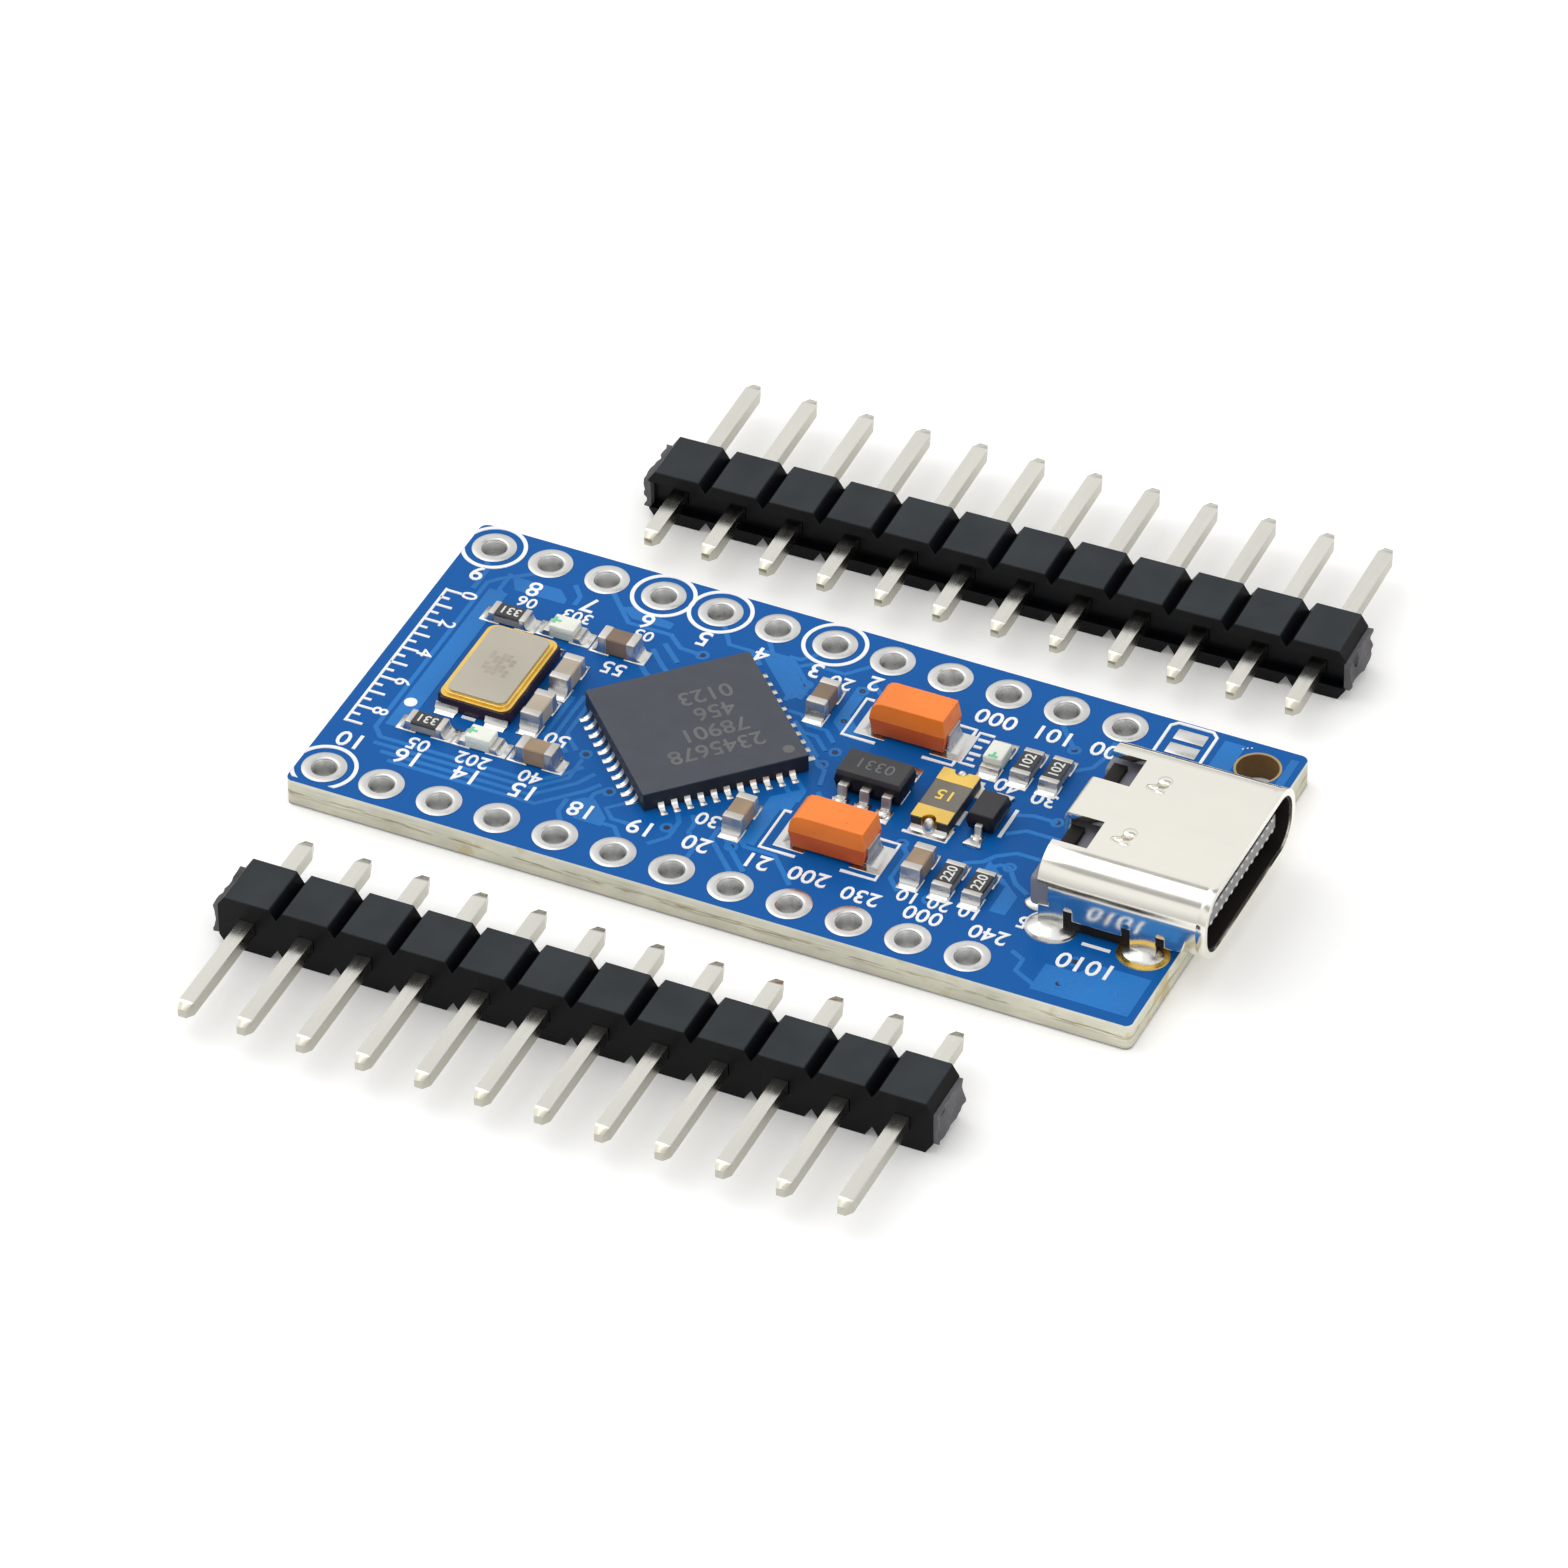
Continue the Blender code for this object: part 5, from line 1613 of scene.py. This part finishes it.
def pin_shape():
    """A square pin along Y with tapered tips and soft edges."""
    low = -HOUSING_DEPTH / 2 - PIN_LONG_END
    high = HOUSING_DEPTH / 2 + PIN_SHORT_END
    bm = block((PIN_SIDE, high - low - 2 * PIN_TIP, PIN_SIDE))
    bmesh.ops.translate(bm, verts=bm.verts, vec=(0, (low + high) / 2, 0))
    for face in [face for face in bm.faces if abs(face.normal.y) > 0.5]:
        way = face.normal.y
        tip = bmesh.ops.extrude_discrete_faces(bm, faces=[face])["faces"][0]
        bmesh.ops.translate(bm, verts=tip.verts[:], vec=(0, way * PIN_TIP, 0))
        bmesh.ops.scale(bm, vec=(0.55, 1, 0.55), verts=tip.verts[:])
    ease(bm, 0.028 * MM, 2, 15)
    return bm


def snapped_face(depth, height, thickness, seed):
    """The torn plastic left where a strip was snapped from a longer one, facing +X."""
    bm = block((thickness, depth, height))
    bmesh.ops.subdivide_edges(bm, edges=bm.edges[:], cuts=9, use_grid_fill=True)
    for vert in bm.verts:
        if vert.co.x > thickness / 4:
            spot = vert.co / (0.35 * MM) + Vector((seed * 3.1, seed * 1.7, seed))
            rim = max(abs(vert.co.y) / (depth / 2), abs(vert.co.z) / (height / 2))
            vert.co.x += 0.16 * MM * (noise.noise(spot) + rim ** 3 - 0.6)
            vert.co.y *= 1 + 0.03 * noise.noise(spot * 1.7)
            vert.co.z *= 1 + 0.05 * noise.noise(spot * 1.3)
    return bm


class BOARD_OT_header_strips(Operator):
    """Make the two loose header strips: eased housings, torn ends and tinned pins"""

    bl_idname = "board.header_strips"
    bl_label = "Header strips"

    def execute(self, context):
        plastics = context.scene.plastic_settings
        plastic = finish("header plastic", plastics.header, 0.4, 0.0, 9000, 0.3, 0.15, 0.06,
                         depth=0.012, specular=0.14)
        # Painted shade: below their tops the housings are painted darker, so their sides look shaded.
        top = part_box("near_header_housing")[1].z
        repaint_below(plastic, top - 0.05 * MM, (0.0015, 0.0018, 0.003), 0.03 * MM)
        torn = finish("torn plastic", (0.095, 0.092, 0.1), 0.75, 0.0, 7000, 0.9, 0.4, 0.1, depth=0.04)
        tinned = finish("tinned brass", context.scene.metal_settings.tin, 0.22, 1.0, 4000, 0.08, 0.04,
                        0.04, stretch=(1, 0.2, 1), depth=0.006)
        # Painted shade: below their tops the pins are painted darker, so their sides look shaded.
        pin_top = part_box("near_pin_01")[1].z
        repaint_below(tinned, pin_top - 0.03 * MM, (0.5, 0.485, 0.42), 0.015 * MM)
        for seed, side_name in enumerate(("near", "far")):
            body = f"{side_name}_strip"
            place = strip_place(side_name)
            bm = cad_shape(f"{side_name}_header_housing")
            bmesh.ops.transform(bm, matrix=place.inverted(), verts=bm.verts)
            ease(bm, plastics.housing_ease, 2, 30)
            bmesh.ops.transform(bm, matrix=place, verts=bm.verts)
            piece = make_piece(f"{side_name}_housing_moulded", bm, plastic, body)
            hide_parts(f"{side_name}_header_housing")
            ends, pins = shape(), shape()
            for number in range(2):
                end = snapped_face(HOUSING_DEPTH * 0.96, 1.42 * MM, 0.2 * MM, seed * 2 + number)
                spot = spin(number * math.pi) @ move(HOUSING_LENGTH / 2 + 0.03 * MM, 0)
                merge(ends, end, place @ spot)
            make_piece(f"{side_name}_housing_ends", ends, torn, body, sharp=60)
            for index in range(PIN_COUNT):
                merge(pins, pin_shape(), place @ move((index - (PIN_COUNT - 1) / 2) * PITCH, 0))
            piece = make_piece(f"{side_name}_pins", pins, tinned, body, sharp=25)
            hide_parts(*(f"{side_name}_pin_{number:02d}" for number in range(1, PIN_COUNT + 1)))
        return {"FINISHED"}


# ---------------------------------------------------------------- studio

FLOOR_DROP = 0.025 * MM
CAMERA_PLACE = (141.91, -296.31, 275.08)
CAMERA_FORWARD = (-0.332526, 0.69139, -0.64141)
CAMERA_RIGHT = (0.905798, 0.423507, -0.013086)


def lamp(name, power, size, place):
    """A round soft light that faces the middle."""
    data = bpy.data.lights.new(name, "AREA")
    data.energy = power
    data.shape = "DISK"
    data.size = size
    thing = bpy.data.objects.new(name, data)
    thing.location = place
    thing.rotation_euler = (-Vector(place)).to_track_quat("-Z", "Y").to_euler()
    bpy.context.scene.collection.objects.link(thing)


class BOARD_OT_stage(Operator):
    """Make the pale floor, the soft lights and the camera"""

    bl_idname = "board.stage"
    bl_label = "Stage"

    def execute(self, context):
        scene = context.scene
        studio = scene.studio_settings
        bm = shape()
        bmesh.ops.create_grid(bm, x_segments=1, y_segments=1, size=2.0, matrix=move(0, 0, -FLOOR_DROP))
        mesh = as_mesh(bm, "floor")
        pale = bpy.data.materials.new("pale floor")
        pale.use_nodes = True
        feed(pale.node_tree, pale.node_tree.nodes["Principled BSDF"], {
            "Base Color": (0.97, 0.97, 0.968),
            "Roughness": 0.6,
            "Emission Color": (1, 1, 1),
            "Emission Strength": 0.1,
        })
        mesh.materials.append(pale)
        floor = bpy.data.objects.new("floor", mesh)
        scene.collection.objects.link(floor)

        world = bpy.data.worlds.new("surround")
        world.use_nodes = True
        tree = world.node_tree
        ramp = tree.nodes.new("ShaderNodeValToRGB")
        direction = add_node(tree, "TexCoord", {})["Generated"]
        feed(tree, ramp, {"Fac": add_node(tree, "SeparateXYZ", {0: direction})["Z"]})
        feed(tree, tree.nodes["Background"], {
            "Color": ramp.outputs["Color"], "Strength": studio.sky_strength,
        })
        bands = ((0.0, 0.6), (0.25, 0.8), (0.5, 1.0), (0.72, 1.0), (0.76, 0.45), (0.88, 0.5),
                 (0.91, 1.2))
        while len(ramp.color_ramp.elements) < len(bands):
            ramp.color_ramp.elements.new(0.5)
        for element, (place, level) in zip(ramp.color_ramp.elements, bands):
            element.position = place
            element.color = (level, level * 0.995, level * 0.985, 1)
        scene.world = world

        lamp("key_light", studio.key_power, 0.6, (-0.35, 0.05, 0.5))
        lamp("fill_light", studio.fill_power, 0.4, (0.35, -0.2, 0.35))

        data = bpy.data.cameras.new("camera")
        data.lens = studio.lens
        data.sensor_width = 36.0
        data.clip_start = 0.01
        data.clip_end = 10.0
        camera = bpy.data.objects.new("camera", data)
        forward, right = Vector(CAMERA_FORWARD).normalized(), Vector(CAMERA_RIGHT).normalized()
        turn = Matrix((right, right.cross(forward), -forward)).transposed().to_4x4()
        camera.matrix_world = Matrix.Translation(Vector(CAMERA_PLACE) * MM) @ turn
        scene.collection.objects.link(camera)
        scene.camera = camera
        scene.view_settings.view_transform = "Standard"
        return {"FINISHED"}


# ---------------------------------------------------------------- panel and run

PIECES = (
    BOARD_OT_laminate, BOARD_OT_header_pads, BOARD_OT_copper, BOARD_OT_legend, BOARD_OT_bare_pads,
    BOARD_OT_microcontroller, BOARD_OT_crystal, BOARD_OT_chip_parts, BOARD_OT_leds,
    BOARD_OT_tantalums, BOARD_OT_leaded_parts, BOARD_OT_fuse, BOARD_OT_usb_shell,
    BOARD_OT_usb_inside, BOARD_OT_usb_joints, BOARD_OT_header_strips, BOARD_OT_stage,
)

SETTINGS = {
    "board_settings": BoardSettings,
    "metal_settings": MetalSettings,
    "plastic_settings": PlasticSettings,
    "studio_settings": StudioSettings,
}


class BOARD_PT_pieces(Panel):
    """Lists the board's pieces and settings"""

    bl_idname = "BOARD_PT_pieces"
    bl_label = "Microcontroller board"
    bl_space_type = "VIEW_3D"
    bl_region_type = "UI"
    bl_category = "Board"

    def draw(self, context):
        column = self.layout.column(align=True)
        for piece in PIECES:
            column.operator(piece.bl_idname)
        for name, kind in SETTINGS.items():
            box = self.layout.box()
            settings = getattr(context.scene, name)
            for label in kind.__annotations__:
                box.prop(settings, label)


def register():
    for kind in (*SETTINGS.values(), *PIECES, BOARD_PT_pieces):
        bpy.utils.register_class(kind)
    for name, kind in SETTINGS.items():
        setattr(bpy.types.Scene, name, PointerProperty(type=kind))


def unregister():
    for name in SETTINGS:
        delattr(bpy.types.Scene, name)
    for kind in (BOARD_PT_pieces, *reversed(PIECES), *SETTINGS.values()):
        bpy.utils.unregister_class(kind)


def main():
    """Build every piece in order."""
    register()
    for piece in PIECES:
        group, name = piece.bl_idname.split(".")
        getattr(getattr(bpy.ops, group), name)()


if __name__ == "__main__":
    main()
